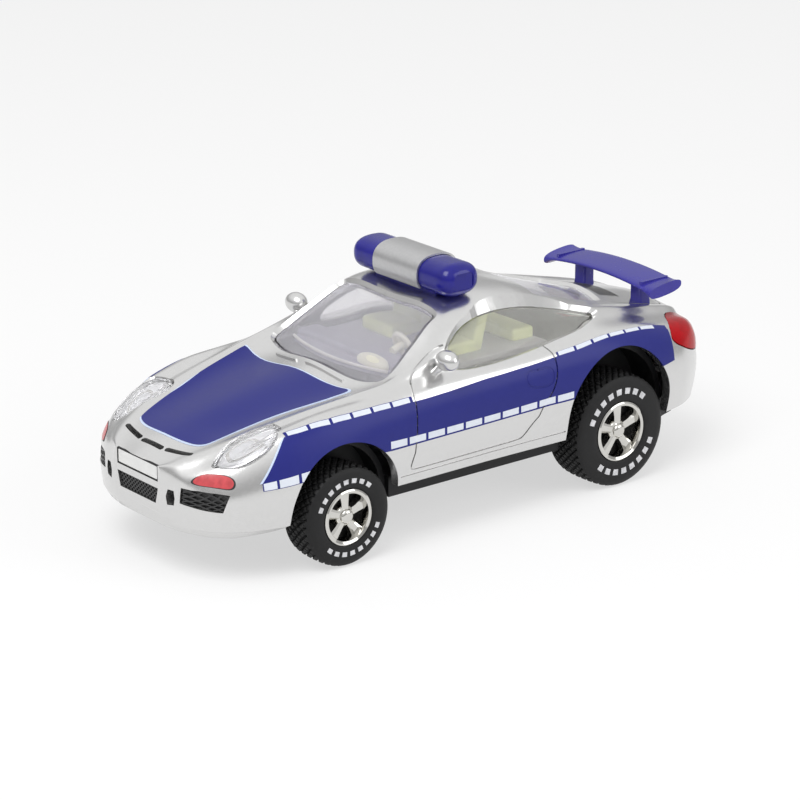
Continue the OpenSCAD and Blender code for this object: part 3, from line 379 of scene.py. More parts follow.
def cut(ob, cutters, angle=SHARP, operation="DIFFERENCE"):
    """Takes each cutter (points and faces) out of the object."""
    tools = []
    for i, (pts, faces) in enumerate(cutters):
        tool = mesh("tool_%d" % i, pts, faces)
        mod = ob.modifiers.new("cut_%d" % i, "BOOLEAN")
        mod.operation, mod.solver, mod.object = operation, "MANIFOLD", tool
        tools.append(tool)
    new = bpy.data.meshes.new_from_object(ob.evaluated_get(bpy.context.evaluated_depsgraph_get()))
    ob.modifiers.clear()
    old = ob.data
    ob.data = new
    bpy.data.meshes.remove(old)
    for tool in tools:
        data = tool.data
        bpy.data.objects.remove(tool)
        bpy.data.meshes.remove(data)
    tidy_normals(ob, angle)


# Materials
NOISE_DETAIL = 4
RAMP_STOPS = (0.3, 0.7)
BUMP_DISTANCE = 0.0001


def add_node(tree, kind):
    return tree.nodes.new("ShaderNode" + kind)


def put(node, **values):
    """Sets inputs of a node; their names have _ for a space."""
    for key, value in values.items():
        node.inputs[key.replace("_", " ")].default_value = value


def math_node(tree, kind, *values):
    """Output of a math node; values are numbers or sockets."""
    node = add_node(tree, "Math")
    node.operation = kind
    for socket, value in zip(node.inputs, values):
        if isinstance(value, (int, float)):
            socket.default_value = value
        else:
            tree.links.new(value, socket)
    return node.outputs[0]


def map_node(tree, value, kind="LINEAR", **ends):
    """Output of a map range node with its ends set."""
    node = add_node(tree, "MapRange")
    node.interpolation_type = kind
    put(node, **ends)
    tree.links.new(value, node.inputs["Value"])
    return node.outputs["Result"]


def shader(name, color, rough, metallic=0.0, vary=0.03, grain=1500, bump=0.05, rough_vary=0.05, **sockets):
    """Principled material with fine noise in colour, roughness and bump."""
    mat = bpy.data.materials.new(name)
    mat.use_nodes = True
    tree = mat.node_tree
    link = tree.links.new
    bsdf = tree.nodes["Principled BSDF"]
    coords = add_node(tree, "TexCoord")
    noise = add_node(tree, "TexNoise")
    put(noise, Scale=grain, Detail=NOISE_DETAIL)
    link(coords.outputs["Object"], noise.inputs["Vector"])
    ramp = add_node(tree, "ValToRGB")
    for stop, at, k in zip(ramp.color_ramp.elements, RAMP_STOPS, (1 - vary, 1 + vary)):
        stop.color = (*[min(1.0, c * k) for c in color], 1)
        stop.position = at
    link(noise.outputs["Fac"], ramp.inputs["Fac"])
    link(ramp.outputs["Color"], bsdf.inputs["Base Color"])
    dull, shiny = rough + rough_vary, max(0.0, rough - rough_vary)
    link(map_node(tree, noise.outputs["Fac"], To_Min=shiny, To_Max=dull), bsdf.inputs["Roughness"])
    relief = add_node(tree, "Bump")
    put(relief, Strength=bump, Distance=BUMP_DISTANCE)
    link(noise.outputs["Fac"], relief.inputs["Height"])
    link(relief.outputs["Normal"], bsdf.inputs["Normal"])
    put(bsdf, Metallic=metallic, **sockets)
    return mat


SILVER = shader("silver_lacquer", (0.66, 0.658, 0.655), 0.23, metallic=0.95, vary=0.02, grain=2600, bump=0.01,
                rough_vary=0.03, Coat_Weight=0.25, Coat_Roughness=0.06)
BLUE = shader("blue_print", (0.02, 0.024, 0.19), 0.3, vary=0.02, bump=0.0, rough_vary=0.04,
              Specular_IOR_Level=0.2)
WHITE = shader("plate_print", (0.74, 0.74, 0.73), 0.3, bump=0.03)
DASHES = shader("dash_print", (0.7, 0.74, 0.82), 0.32, bump=0.03)
# Pale rim colour; round the hood panel it is a painted highlight
PALE = shader("pale_edge", (0.6, 0.7, 0.9), 0.3, bump=0.03)
GLASS = shader("hazy_pane", (0.94, 0.93, 0.98), 0.06, vary=0.02, grain=300, bump=0.0, rough_vary=0.03,
               Transmission_Weight=0.8, IOR=1.35)
PANE = shader("side_pane", (0.98, 0.98, 0.94), 0.06, vary=0.02, grain=300, bump=0.0, rough_vary=0.03,
              Transmission_Weight=0.84, IOR=1.25)
LENS = shader("clear_lens", (0.97, 0.97, 0.98), 0.1, vary=0.01, grain=300, bump=0.0, rough_vary=0.02,
              Transmission_Weight=0.9, IOR=1.1)
CHROME = shader("chrome", (0.63, 0.62, 0.59), 0.09, metallic=1.0, grain=900, bump=0.02, rough_vary=0.03)
SATIN = shader("satin_reflector", (0.76, 0.76, 0.77), 0.36, metallic=0.8, grain=900, bump=0.02)
RED = shader("red_lens", (0.4, 0.002, 0.006), 0.14, vary=0.12, grain=900, bump=0.0, rough_vary=0.04,
             Specular_IOR_Level=0.1)
PINK = shader("red_print", (0.55, 0.07, 0.08), 0.25, vary=0.15, grain=1800, bump=0.04)
BLACK = shader("black_moulding", (0.008, 0.008, 0.009), 0.5, vary=0.2, grain=1200, bump=0.08, rough_vary=0.1,
               Specular_IOR_Level=0.3)
DARK = shader("dark_mesh", (0.025, 0.025, 0.026), 0.38, vary=0.2)
BAR = shader("bar_blue", (0.018, 0.016, 0.29), 0.13, vary=0.08, grain=500, bump=0.0, rough_vary=0.04,
             Transmission_Weight=0.3, IOR=1.4)
COVER = shader("satin_silver", (0.52, 0.52, 0.525), 0.34, metallic=0.85, vary=0.04, grain=3000, bump=0.08)
WING = shader("wing_blue", (0.034, 0.028, 0.29), 0.26, grain=600, bump=0.0, Specular_IOR_Level=0.4)
CREAM = shader("cream_moulding", (0.9, 0.88, 0.66), 0.42, vary=0.05, grain=800)
LIME = shader("pale_seat", (0.8, 0.85, 0.38), 0.45, vary=0.06, grain=800)
PLUM = shader("cabin_grey", (0.3, 0.29, 0.33), 0.5, vary=0.08, grain=800)
GREY = shader("grey_moulding", (0.1, 0.1, 0.105), 0.45, vary=0.12, grain=1100, bump=0.08)
STEEL = shader("steel", (0.55, 0.55, 0.56), 0.28, metallic=1.0, vary=0.08, grain=2000, bump=0.06)
SPRING = shader("spring_steel", (0.3, 0.34, 0.4), 0.3, metallic=1.0, vary=0.12)
IVORY = shader("ivory_moulding", (0.8, 0.77, 0.68), 0.4, vary=0.05, grain=900)
BRASS = shader("brass", (0.72, 0.5, 0.17), 0.25, metallic=1.0, vary=0.08)
RUBBER = shader("tyre_rubber", (0.0075, 0.0075, 0.008), 0.55, vary=0.25, grain=1600, bump=0.15,
                rough_vary=0.08, Specular_IOR_Level=0.3)
MARK = shader("tyre_mark", (0.62, 0.62, 0.64), 0.5, vary=0.15, grain=1800, bump=0.06)


def place(ob, body, slot=None, *stands_for):
    """Puts a piece on a body, with the CAD nodes that it stands for hidden; the slot is not used."""
    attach(ob, body)
    if stands_for:
        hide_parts(*stands_for)


def piece(name, data, mat, slot=None, *stands_for, body="car", angle=SHARP):
    """Mesh placed on a body of the frame."""
    place(mesh(name, *data, mat, angle), body, slot, *stands_for)


# Camera, fitted to the photograph
TURN = math.radians(38.39)
RISE = math.radians(18.92)
CAMERA_AT = Vector((216.81, 272.46, 130.24)) * MM
FOCAL = 144.0
SENSOR = 36.0
CLIP = (0.01, 20)

back = Vector((math.sin(TURN) * math.cos(RISE), math.cos(TURN) * math.cos(RISE), math.sin(RISE)))
right = Vector((-math.cos(TURN), math.sin(TURN), 0))
axes = Matrix((right, back.cross(right), back)).transposed()
camera = added("camera", bpy.data.cameras.new("camera"))
camera.matrix_world = Matrix.Translation(CAMERA_AT) @ axes.to_4x4()
camera.data.lens, camera.data.sensor_width = FOCAL, SENSOR
camera.data.clip_start, camera.data.clip_end = CLIP
bpy.context.scene.camera = camera

# Places on the shell (x, q), near side
def bowed(x, bow, half):
    """Bowed edge of a pane: at x on the middle, back by bow at q = half."""
    return [(x - bow * s * s, half * s) for s in np.linspace(1, -1, 13)]


def ring_of(low, high, n=7):
    """Loop from two edges, with added places on the two short sides."""
    t = np.linspace(0, 1, n)[1:-1, None]
    low, high = np.array(low, float), np.array(high, float)[::-1]
    return np.concatenate([low, low[-1] + (high[0] - low[-1]) * t, high, high[-1] + (low[0] - high[-1]) * t])


SCREEN = ring_of(bowed(13, bow=1.4, half=0.93), bowed(2.8, bow=0.2, half=0.86))
REAR = ring_of(bowed(-13, bow=-0.4, half=0.82), bowed(-25.5, bow=-1, half=0.78))
SIDE = [(-20, 2.6), (-17.5, 3.05), (-14.5, 3.2), (-10, 3.22), (-5, 3.22), (0, 3.22), (3, 3.05), (3.9, 2.7),
        (3.6, 2.2), (1.4, 1.6), (-2, 1.2), (-6, 1.12), (-11, 1.12), (-15.5, 1.18), (-18.6, 1.55),
        (-20.2, 2.2)]
HEAD = [(25.9, 3.3), (27, 4.03), (29, 4.24), (31.2, 4.28), (33.2, 4.12), (33.8, 3.75), (33.75, 3.4),
        (32.6, 2.75), (30.6, 2), (27.6, 1.4), (26.2, 1.6), (25.7, 2.7)]
TAIL = [(-36.6, 4.75), (-35, 4.75), (-33, 4.7), (-31, 4.58), (-28.6, 4.4), (-28.8, 4.22), (-31, 3.4),
        (-33.2, 2.85), (-35, 2.9), (-36.4, 3.3)]
GRILLE = [(34.2, 5.61), (35, 5.57), (35.9, 5.5), (36.65, 5.4), (36.55, 4.43), (35.7, 4.57), (34.6, 4.7),
          (33.55, 4.81)]
PILL = [(35.95, 4.12), (35.2, 3.9), (34.2, 4.12), (33, 4.4), (32.9, 4.58), (33.4, 4.68), (34.6, 4.52),
        (35.75, 4.33)]
DOOR_TOP = [(3.75, 1.87), (4.5, 1.8), (5.4, 1.77), (6.6, 1.8), (7.9, 2), (8.85, 2.31), (9.45, 2.9),
            (9.6, 3.2)]
DOOR = [(9.45, 2.9), (9.7, 3.4), (10.05, 4.1), (10.5, 4.8), (11.3, 5.75), (11.2, 5.98), (10.2, 6.02),
        (4, 6.03), (-4.2, 6.02), (-4.9, 5.9), (-6.2, 5.3), (-7.6, 4.85), (-9.3, 4.6), (-9.95, 4.3),
        (-9.9, 3.9), (-9.3, 3.3)]
LID_LINE = [(-25.9, 0.86), (-30, 0.98), (-34.2, 1.1), (-35.3, 0.6), (-35.5, 0), (-35.3, -0.6),
            (-34.2, -1.1), (-30, -0.98), (-25.9, -0.86)]
SILL_LINE = [(12.6, 6.35), (6, 6.36), (0, 6.36), (-6, 6.36), (-11.2, 6.36)]
HANDLE = [(-7.2, 4.18), (-9, 4.2), (-9.35, 4.36), (-8.9, 4.53), (-5.7, 4.45), (-5.35, 4.28), (-5.75, 4.15),
          (-7.2, 4.18)]

# Openings: wheel arches by lift and gap, slots, pockets at the nose
ARCH_REACH = 40
FRONT_LIFT = 1.3
FRONT_GAP = 1.4
REAR_SHIFT = 0.6
REAR_LIFT = 2.5
REAR_GAP = 1.2
VENTS = [((34.3, -6), (35, -2.6)), ((35.15, -1.7), (35.15, 1.7)), ((35, 2.6), (34.3, 6))]
LOUVRES = [-26.6 - 0.65 * i for i in range(5)]
LOUVRE_HALF = 3.4
NOSE_SLOT = [(5.35, 8.35), (6.35, 8.5), (6.5, 9.3), (6.35, 10.15), (5.5, 10.15), (5.2, 9.3)]
NOSE_SLOT_BACK = 35.0
CENTRE = [(-3.4, 8), (3.4, 8), (3.9, 9.8), (-3.9, 9.8)]
CENTRE_BACK = 36.45
PLATE_LOW = (-3.9, 10.57)
PLATE_HIGH = (3.9, 12.43)
PLATE_BACK = 36.95
AHEAD = 39  # in front of the nose


def arch(x, z, r, n=96):
    """Cutter for two wheel arches: half round above, straight below."""
    top = [x, z] + r * around(np.linspace(0, math.pi, n))
    outline = np.concatenate([top, [[x - r, z - 2 * r], [x + r, z - 2 * r]]])
    return prism(outline, 1, -ARCH_REACH, ARCH_REACH)


ARCHES = [arch(AXLE_X, FRONT_R + FRONT_LIFT, FRONT_R + FRONT_GAP),
          arch(-AXLE_X + REAR_SHIFT, REAR_R + REAR_LIFT, REAR_R + REAR_GAP)]
SEAMS = both(groove_mesh(DOOR, width=0.24, depth=0.22)) + both(groove_mesh(DOOR_TOP, width=0.3, depth=0.5))
SEAMS += both(groove_mesh(SILL_LINE, width=0.22, depth=0.16))
HANDLES = both(groove_mesh(HANDLE, width=0.4, depth=-0.012))

# Shell
CORE_DROP = np.array([0, 0, 4.0])
SHELL_SHARP = 22


def shell_solid(n, steps):
    """The whole body under the shell's face."""
    even = np.linspace(-HALF, HALF, n // 2)
    x = np.unique(np.concatenate([-HALF * np.cos(np.linspace(0, math.pi, n)), even]))
    q = np.linspace(LAST, -LAST, 2 * LAST * steps + 1)
    return loft(surf(x[:, None], q[None, :]))


def shell_core(n, steps):
    """What the shell holds inside its wall, open to below."""
    x = -(HALF - STEP_X) * np.cos(np.linspace(0, math.pi, n))
    q = np.linspace(LAST, -LAST, 2 * LAST * steps + 1)
    face = skin(*np.broadcast_arrays(x[:, None], q[None, :]), -WALL)
    face[..., 0] = np.clip(face[..., 0], -HALF + WALL, HALF - WALL)
    return loft(np.concatenate([face[:, :1] - CORE_DROP, face, face[:, -1:] - CORE_DROP], 1))


def openings():
    """Cutters for panes and lamps, and for the chamfers round them."""
    found = [patch_mesh(loop, top=2, bottom=-3) for loop in (SCREEN, REAR)]
    for loop in (SIDE, HEAD, TAIL):
        found += both(patch_mesh(loop, top=2, bottom=-3))
    found.append(flare_mesh(SCREEN, top=0.4, bottom=-0.45, wider=0.7, per_q=10.3))
    found.append(flare_mesh(REAR, top=0.4, bottom=-0.45, wider=0.7, per_q=8.7))
    found += both(flare_mesh(SIDE, top=0.4, bottom=-0.6, wider=1.0, per_q=2.9))
    found += both(flare_mesh(HEAD, top=0.3, bottom=-0.3, wider=0.35, per_q=2.6))
    return found


def nose_and_vents():
    """Cutters for grilles, plate, vents, louvres and nose slots."""
    found = both(patch_mesh(GRILLE, top=2, bottom=-0.75, times=0))
    found.append(prism(CENTRE, 0, CENTRE_BACK, AHEAD))
    found.append(prism(rectangle(PLATE_LOW, PLATE_HIGH), 0, PLATE_BACK, AHEAD))
    found += [slot_prism(a, b, width=0.6, low=9.5, high=17) for a, b in VENTS]
    for x in LOUVRES:
        found.append(slot_prism((x, -LOUVRE_HALF), (x, LOUVRE_HALF), width=0.45, low=16, high=22))
    return found + both(prism(NOSE_SLOT, 0, NOSE_SLOT_BACK, AHEAD))


shell = mesh("shell_lacquer", *shell_solid(n=230, steps=14), SILVER)
lid_seam = groove_mesh(LID_LINE, width=0.22, depth=0.18)
core = shell_core(n=60, steps=4)
cut(shell, [core] + ARCHES + openings() + nose_and_vents() + SEAMS + [lid_seam], SHELL_SHARP)
place(shell, "car", "body_silver", "body_shell")

# Panes and lamps
DISH_AT = np.array([30.1, 3.1])
DISH_SIZE = np.array([2.0, 0.72])
DISHES = (("head_dish_", CHROME, 1.0, -0.1), ("head_bulb_", SATIN, 0.82, 0.2))


def sheet(name, loop, mat, top, bottom, share=1.0, slot=None, stands=(), sign=1, **shape):
    """Plate on the shell inside a loop scaled to a share; sign -1 mirrors it."""
    data = patch_mesh(inset(loop, share), top, bottom, **shape)
    piece(name, on_side(data, sign), mat, slot, *stands)


def dish_loop(size):
    return DISH_AT + size * DISH_SIZE * around(circle(32))


sheet("windscreen_pane", SCREEN, GLASS, top=-0.4, bottom=-0.95, share=0.98, slot="window_tint",
      stands=["windscreen"])
sheet("rear_pane", REAR, GLASS, top=-0.4, bottom=-0.95, share=0.985, slot="window_tint",
      stands=["rear_window"])
for side, sign in SIDES:
    sheet("side_pane_" + side, SIDE, PANE, top=-0.75, bottom=-1.0, share=0.975, slot="window_tint",
          stands=["side_window_" + side], sign=sign)
    sheet("head_lens_" + side, HEAD, LENS, top=0.0, bottom=-0.4, share=0.97, slot="lamp_clear",
          stands=["headlight_lens_" + side], sign=sign, dome=0.4)
    sheet("head_bowl_" + side, HEAD, SATIN, top=-0.75, bottom=-1.5, share=0.97, slot="reflector",
          stands=["headlight_bowl_" + side], sign=sign)
    for name, mat, size, dome in DISHES:
        sheet(name + side, dish_loop(size), mat, top=-0.62, bottom=-1.0, slot="reflector", sign=sign,
              rings=6, times=0, dome=dome)
    sheet("tail_lens_" + side, TAIL, RED, top=0.05, bottom=-1.1, share=0.97, slot="lamp_red",
          stands=["tail_lamp_" + side], sign=sign, dome=0.25)
    sheet("front_lamp_edge_" + side, PILL, DARK, top=0.04, bottom=-0.2, share=1.06, sign=sign)
    sheet("front_lamp_" + side, PILL, PINK, top=0.07, bottom=-0.2, share=0.96, sign=sign)

# Prints, and a painted highlight round the hood panel
HOOD = [(14.7, -1.18), (15.5, -0.6), (15.75, -0.2), (15.5, 0.3), (15, 0.55), (14.2, 0.78), (17.4, 0.76),
        (23.35, 0.74), (27.05, 0.79), (30, 0.88), (31.95, 0.95), (32.6, 0.88), (33, 0.7), (33.3, 0.3),
        (33.35, 0), (33.3, -0.4), (33.1, -0.8), (32.4, -1.04), (31, -1.04), (28, -1), (24.4, -0.97),
        (19, -1.06)]
BAND_TOP = [(26.85, 4.19), (25.05, 4.24), (23.3, 4.27), (21.45, 4.31), (19.15, 4.3), (16.95, 4.27),
            (14.9, 4.23), (12.85, 4.2), (11, 4.17), (5.2, 4.12), (-0.15, 4.06), (-4.75, 4.05),
            (-9.8, 4.06), (-13.9, 4.08), (-18.3, 4.06), (-23.45, 4.06), (-26.4, 4.08), (-28.6, 4.12)]
BAND_LOW = [(30.35, 4.72), (27.35, 4.76), (25.7, 4.77), (14.1, 4.86), (7.2, 4.86), (-1.4, 4.86),
            (-8.65, 4.86), (-11.8, 4.88), (-22.45, 4.88), (-28.2, 4.72)]
EDGE_WIDTH = [0.3, 0]
DASH = 2.3
DASH_GAP = 0.36
# Rows of dashes: x from and to, edge of the band, two steps of q off it, length of a dash
DASH_ROWS = [(26.4, 10.6, BAND_TOP, 0, -0.09, DASH), (-10.6, -28.4, BAND_TOP, 0, -0.09, DASH),
             (30.3, 28.8, BAND_LOW, 0.13, 0.01, 1.4), (28.6, 23.5, BAND_LOW, 0.13, 0.01, 2.2),
             (14.2, -13, BAND_LOW, -0.03, -0.14, DASH)]
# Blue under the outer rows: the same, but with a number of places last
BACKINGS = [(26.7, 10.4, BAND_TOP, 0, -0.1, 60), (-10.4, -28.5, BAND_TOP, 0, -0.1, 60),
            (30.4, 23.5, BAND_LOW, 0.14, 0, 40)]


def band(x0, x1, edge, low, high, n):
    """Two lines of n places from x0 to x1, at two steps of q off an edge of the band."""
    x = np.linspace(x0, x1, n)
    p = np.array(sorted(edge))
    q = np.interp(x, p[:, 0], p[:, 1])
    return np.stack([x, q + low], -1), np.stack([x, q + high], -1)


def whole_edge(edge):
    """Many places along an edge of the band."""
    return band(edge[0][0], edge[-1][0], edge, 0, 0, 170)[0]


def dashes(x0, x1, edge, low, high, length):
    """Row of printed dashes from x0 back to x1."""
    found = []
    x = x0
    while x - length > x1:
        found.append(strip_mesh(*band(x, x - length, edge, low, high, 7), top=0.075, bottom=-0.15, steps=2))
        x -= length + DASH_GAP
    return found


# Pale rim round the hood panel: a painted highlight along the panel's edge
sheet("hood_edge", HOOD, PALE, top=0.05, bottom=-0.25, share=1.025, rings=24)
sheet("hood_panel", HOOD, BLUE, top=0.08, bottom=-0.25, rings=24)
band_sheet = strip_mesh(whole_edge(BAND_LOW), whole_edge(BAND_TOP), top=0.065, bottom=-0.25, steps=10)
front_edge = np.linspace(BAND_TOP[0], BAND_LOW[0], 9)
edge_sheet = strip_mesh(front_edge + EDGE_WIDTH, front_edge, top=0.05, bottom=-0.2, steps=2)
backing_sheet = joined([strip_mesh(*band(*row), top=0.06, bottom=-0.2, steps=2) for row in BACKINGS])
dash_sheet = joined([dash for row in DASH_ROWS for dash in dashes(*row)])
for side, sign in SIDES:
    for name, data, mat, cutters in (("band_", band_sheet, BLUE, ARCHES + SEAMS + HANDLES),
                                     ("band_edge_", edge_sheet, PALE, []),
                                     ("band_backing_", backing_sheet, BLUE, ARCHES),
                                     ("dashes_", dash_sheet, DASHES, ARCHES)):
        printed = mesh(name + side, *on_side(data, sign), mat)
        if cutters:
            cut(printed, cutters)
        place(printed, "car")

# Wipers moulded at the foot of the windscreen
WIPERS = [[(13.45, -0.6), (14, -0.2)], [(13.9, -0.05), (13.55, 0.52)]]
WIPER_HALF = [0.13, 0]
for i, ends in enumerate(WIPERS):
    line = polyline(ends)
    wiper = strip_mesh(line + WIPER_HALF, line - WIPER_HALF, top=0.2, bottom=-0.2, steps=3)
    piece("wiper_%d" % i, wiper, SILVER)

# Grilles at the nose
GRILLE_PER_Q = 3.1  # mm in one step of q
BARS_REACH = 12
BARS_PAST = 0.15  # in q, past the loop


def bars_on(loop, pitch, half, top, bottom):
    """Crossed bars over a loop of places on the shell."""
    lo, hi = np.min(loop, 0), np.max(loop, 0)
    middle = (lo + hi) / 2
    x = np.linspace(lo[0] - 1, min(hi[0] + 1, HALF - 0.1), 14)
    offset = np.array([0, half / GRILLE_PER_Q])
    found = []
    for slope in (1, -1):
        for shift in np.arange(-BARS_REACH, BARS_REACH, pitch):
            q = middle[1] + slope * (x - middle[0] - shift) / GRILLE_PER_Q
            keep = (q > lo[1] - BARS_PAST) & (q < hi[1] + BARS_PAST)
            if keep.sum() > 2:
                line = np.stack([x[keep], q[keep]], -1)
                found.append(strip_mesh(line + offset, line - offset, top, bottom, steps=1))
    return found


def centre_bars(reach, pitch, slant, half, low, high, back, face, apart):
    """Crossed flat bars; those of one slope stand apart from the others."""
    found = []
    for slope in (1, -1):
        for y in np.arange(-reach, reach, pitch):
            foot, head = y - slant * slope, y + slant * slope
            outline = [(foot - half, low), (foot + half, low), (head + half, high), (head - half, high)]
            found.append(prism(outline, 0, back, face + apart * slope))
    return joined(found)


grille_back = patch_mesh(inset(GRILLE, 0.98), top=-0.4, bottom=-0.72, times=0)
grille_bars = joined(bars_on(GRILLE, pitch=0.85, half=0.12, top=-0.12, bottom=-0.5))
grille_room = patch_mesh(inset(GRILLE, 0.96), top=1, bottom=-0.6, times=0)
for side, sign in SIDES:
    node = ["front_grille"] if side == "left" else []
    piece("grille_" + side, on_side(grille_back, sign), DARK, "grille_black", *node)
    bars = mesh("grille_bars_" + side, *on_side(grille_bars, sign), DARK)
    cut(bars, [on_side(grille_room, sign)], operation="INTERSECT")
    place(bars, "car", "grille_black")
piece("grille_centre", prism(inset(CENTRE, 0.98), 0, low=36.5, high=36.75), DARK, "grille_black")
crossed = centre_bars(reach=7, pitch=0.62, slant=2, half=0.1, low=7.2, high=10.6, back=36.7, face=36.98,
                      apart=0.01)
bars = mesh("grille_centre_bars", *crossed, DARK)
cut(bars, [prism(inset(CENTRE, 0.97), 0, low=36, high=38)], operation="INTERSECT")
place(bars, "car", "grille_black")

# Plate, and black behind the vents and slots
PLATE_MID = np.array([0, 11.5])
PLATE_FRONT = 37.12
PLATE_FACE = 37.15
VENT_BACK = rectangle((33.6, -6.6), (35.6, 6.6))
SLOT_BACK = rectangle((4.9, 8.1), (6.8, 10.5))
plate = prism(round_rect(w=7.7, h=1.75, r=0.2) + PLATE_MID, 0, PLATE_BACK, PLATE_FRONT)
plate_face = prism(round_rect(w=7.4, h=1.45, r=0.12) + PLATE_MID, 0, 37.0, PLATE_FACE)
piece("plate", plate, BLACK, "plate_white", "number_plate")
piece("plate_face", plate_face, WHITE, "plate_white")
liner = joined([prism(VENT_BACK, 2, 10.0, 10.6)] + both(prism(SLOT_BACK, 0, NOSE_SLOT_BACK, 35.3)))
piece("vent_liner", liner, BLACK, "chassis_black")

# Lip under the front bumper
LIP_FROM = 27.35
LIP_WALL = 1.0
LIP_LAP = 0.35  # height over the shell's lower edge
LIP_LEVEL_FROM = 33
LIP_FOOT = (5.75, 5.3, 5.3)  # at LIP_FROM, LIP_LEVEL_FROM and the nose


def lip_rings():
    """Rings from the left wheel arch round the nose to the right one."""
    x = np.linspace(LIP_FROM, HALF, 50)
    edge = np.concatenate([surf(x, LAST), surf(x[::-1], -LAST)])
    way = np.gradient(edge[:, :2], axis=0)
    out = unit(np.stack([-way[:, 1], way[:, 0], 0 * way[:, 0]], -1))
    foot = np.interp(edge[:, 0], [LIP_FROM, LIP_LEVEL_FROM, HALF], LIP_FOOT)
    lines = []
    for inward, z in ((0.12, edge[:, 2] + LIP_LAP), (0.05, edge[:, 2] - 0.05), (0.3, foot + 0.4), (0.7, foot),
                      (LIP_WALL, foot), (LIP_WALL, edge[:, 2] + LIP_LAP)):
        line = edge - inward * out
        line[:, 2] = z
        lines.append(line)
    return np.stack(lines, 1)


piece("front_lip", loft(lip_rings()), SILVER, "body_silver")

# Light bar
ROOF = 24.9
BAR_GAP = 0.1
BAR_HALF = 1.95
BAR_DEPTH = 5.4
BAR_LENGTH = 17.8
BAR_ROUND = 1.6
BAR_SQUARE = 0.8  # power of the section's curve
BAR_SHARP = 50
BAR_AT = np.array([-1.2, 0, ROOF + BAR_GAP + BAR_HALF])
BAR_FRAME = 8.72  # face of the frame pressed into each end
COVER_HALF = 4
COVER_WRAP = np.radians(np.linspace(-38, 218, 41))


def bent(v, power):
    """Signed power; under 1 it squares up a round section."""
    return np.sign(v) * np.abs(v) ** power


def bar_points(y, t, grow):
    """Points of the bar's face at y and angle t, moved out by grow."""
    past = np.maximum(0, np.abs(y) - BAR_LENGTH / 2 + BAR_ROUND) / BAR_ROUND
    s = BAR_ROUND * (1 - np.sqrt(np.maximum(0, 1 - past * past))) - grow
    return np.stack([BAR_AT[0] + (BAR_DEPTH / 2 - s) * bent(np.cos(t), BAR_SQUARE), y + 0 * t,
                     BAR_AT[2] + (BAR_HALF - s) * bent(np.sin(t), BAR_SQUARE)], -1)


bar_y = (BAR_LENGTH / 2 - 0.05) * np.sin(np.linspace(math.pi / 2, -math.pi / 2, 61))
bar = mesh("beacon_bar", *loft(bar_points(bar_y[:, None], circle(72)[None, :], grow=0)), BAR, BAR_SHARP)
cut(bar, both(prism(round_rect(w=2.7, h=1.9, r=0.5) + BAR_AT[[0, 2]], 1, BAR_FRAME, 9.3)), BAR_SHARP)
place(bar, "car", "bar_blue", "light_bar")
piece("beacon_foot", prism(round_rect(w=3, h=11, r=0.4) + BAR_AT[:2], 2, 23.2, 25.9), BAR, "bar_blue")
cover_y = np.linspace(COVER_HALF, -COVER_HALF, 9)[:, None] + 0 * COVER_WRAP[None, :]
outer = bar_points(cover_y, COVER_WRAP[None, :], grow=0.27)
inner = bar_points(cover_y, COVER_WRAP[None, :], grow=0.05)
cover = loft(np.concatenate([outer, inner[:, ::-1]], 1))
piece("beacon_cover", cover, COVER, "cover_silver", "light_bar_cover")

# Wing
WING_X = -31.4
SPAN = 19
CHORD = 5
CHORD_POWER = 0.8
THICK = 0.7
THICK_POWER = 0.7
TIP_HEIGHT = 1.5
ARCH_DROP = 0.8
WING_FLAT = 0.78  # share of the span where the tips begin
WING_TILT = 0.05
TIP_TILT = 0.08
WING_RISE = 3
POST_X = -31.5
POST_Y = 5
RIB_Y = 7.4
RIB_HIGH = 0.16
deck_z = deck(POST_X, POST_Y)
wing_z = deck_z + WING_RISE + THICK / 2


def wing_mid(y):
    return wing_z - ARCH_DROP * (2 * abs(y) / SPAN) ** 2


def wing_ring(y):
    """Section of the blade, thicker and steeper at the tips."""
    tip = (max(0, 2 * abs(y) / SPAN - WING_FLAT) / (1 - WING_FLAT)) ** 2
    t = circle(40)
    x = CHORD / 2 * bent(np.cos(t), CHORD_POWER)
    z = (THICK + (TIP_HEIGHT - THICK) * tip) / 2 * bent(np.sin(t), THICK_POWER)
    tilt = (WING_TILT + TIP_TILT * tip) * x
    return np.stack([WING_X + x, np.full(len(t), y), wing_mid(y) - tilt + z], -1)


def post_ring(z, size):
    return np.insert(round_rect(w=1.7 * size, h=1.9 * size, r=0.35) + [POST_X, POST_Y], 2, z, axis=1)


span_y = [SPAN / 2 * math.sin(a) for a in np.linspace(math.pi / 2, -math.pi / 2, 81)]
blade = loft(np.stack([wing_ring(y) for y in span_y]))
piece("wing_blade", blade, WING, "wing_blue", "rear_wing", angle=50)
rib_z = wing_mid(RIB_Y) + THICK / 2
rib = prism(round_rect(w=4.3, h=0.5, r=0.2) + [WING_X, RIB_Y], 2, rib_z - 0.3, rib_z + RIB_HIGH)
post = loft(np.stack([post_ring(deck_z - 1.6, 1.04), post_ring(deck_z + 0.15, 1.04),
                      post_ring(deck_z + 0.4, 1.0), post_ring(wing_mid(POST_Y), 1.0)]))
for side, sign in SIDES:
    piece("wing_rib_" + side, on_side(rib, sign), WING, "wing_blue")
    piece("wing_post_" + side, on_side(post, sign), WING, "wing_blue")

# Mirrors
MIRROR = np.array([5.3, 13.9, 20.3])
STALK = np.array([0.7, -1.2, -1.45])


def egg(at, length, diameter):
    """Long ball along Y."""
    t = np.linspace(0.03, math.pi - 0.03, 25)[:, None]
    a = circle(36)
    r = diameter / 2 * np.sin(t)
    y = at[1] - length / 2 * np.cos(t) + 0 * a
    return loft(np.stack([at[0] + r * np.cos(a), y, at[2] + r * np.sin(a)], -1))


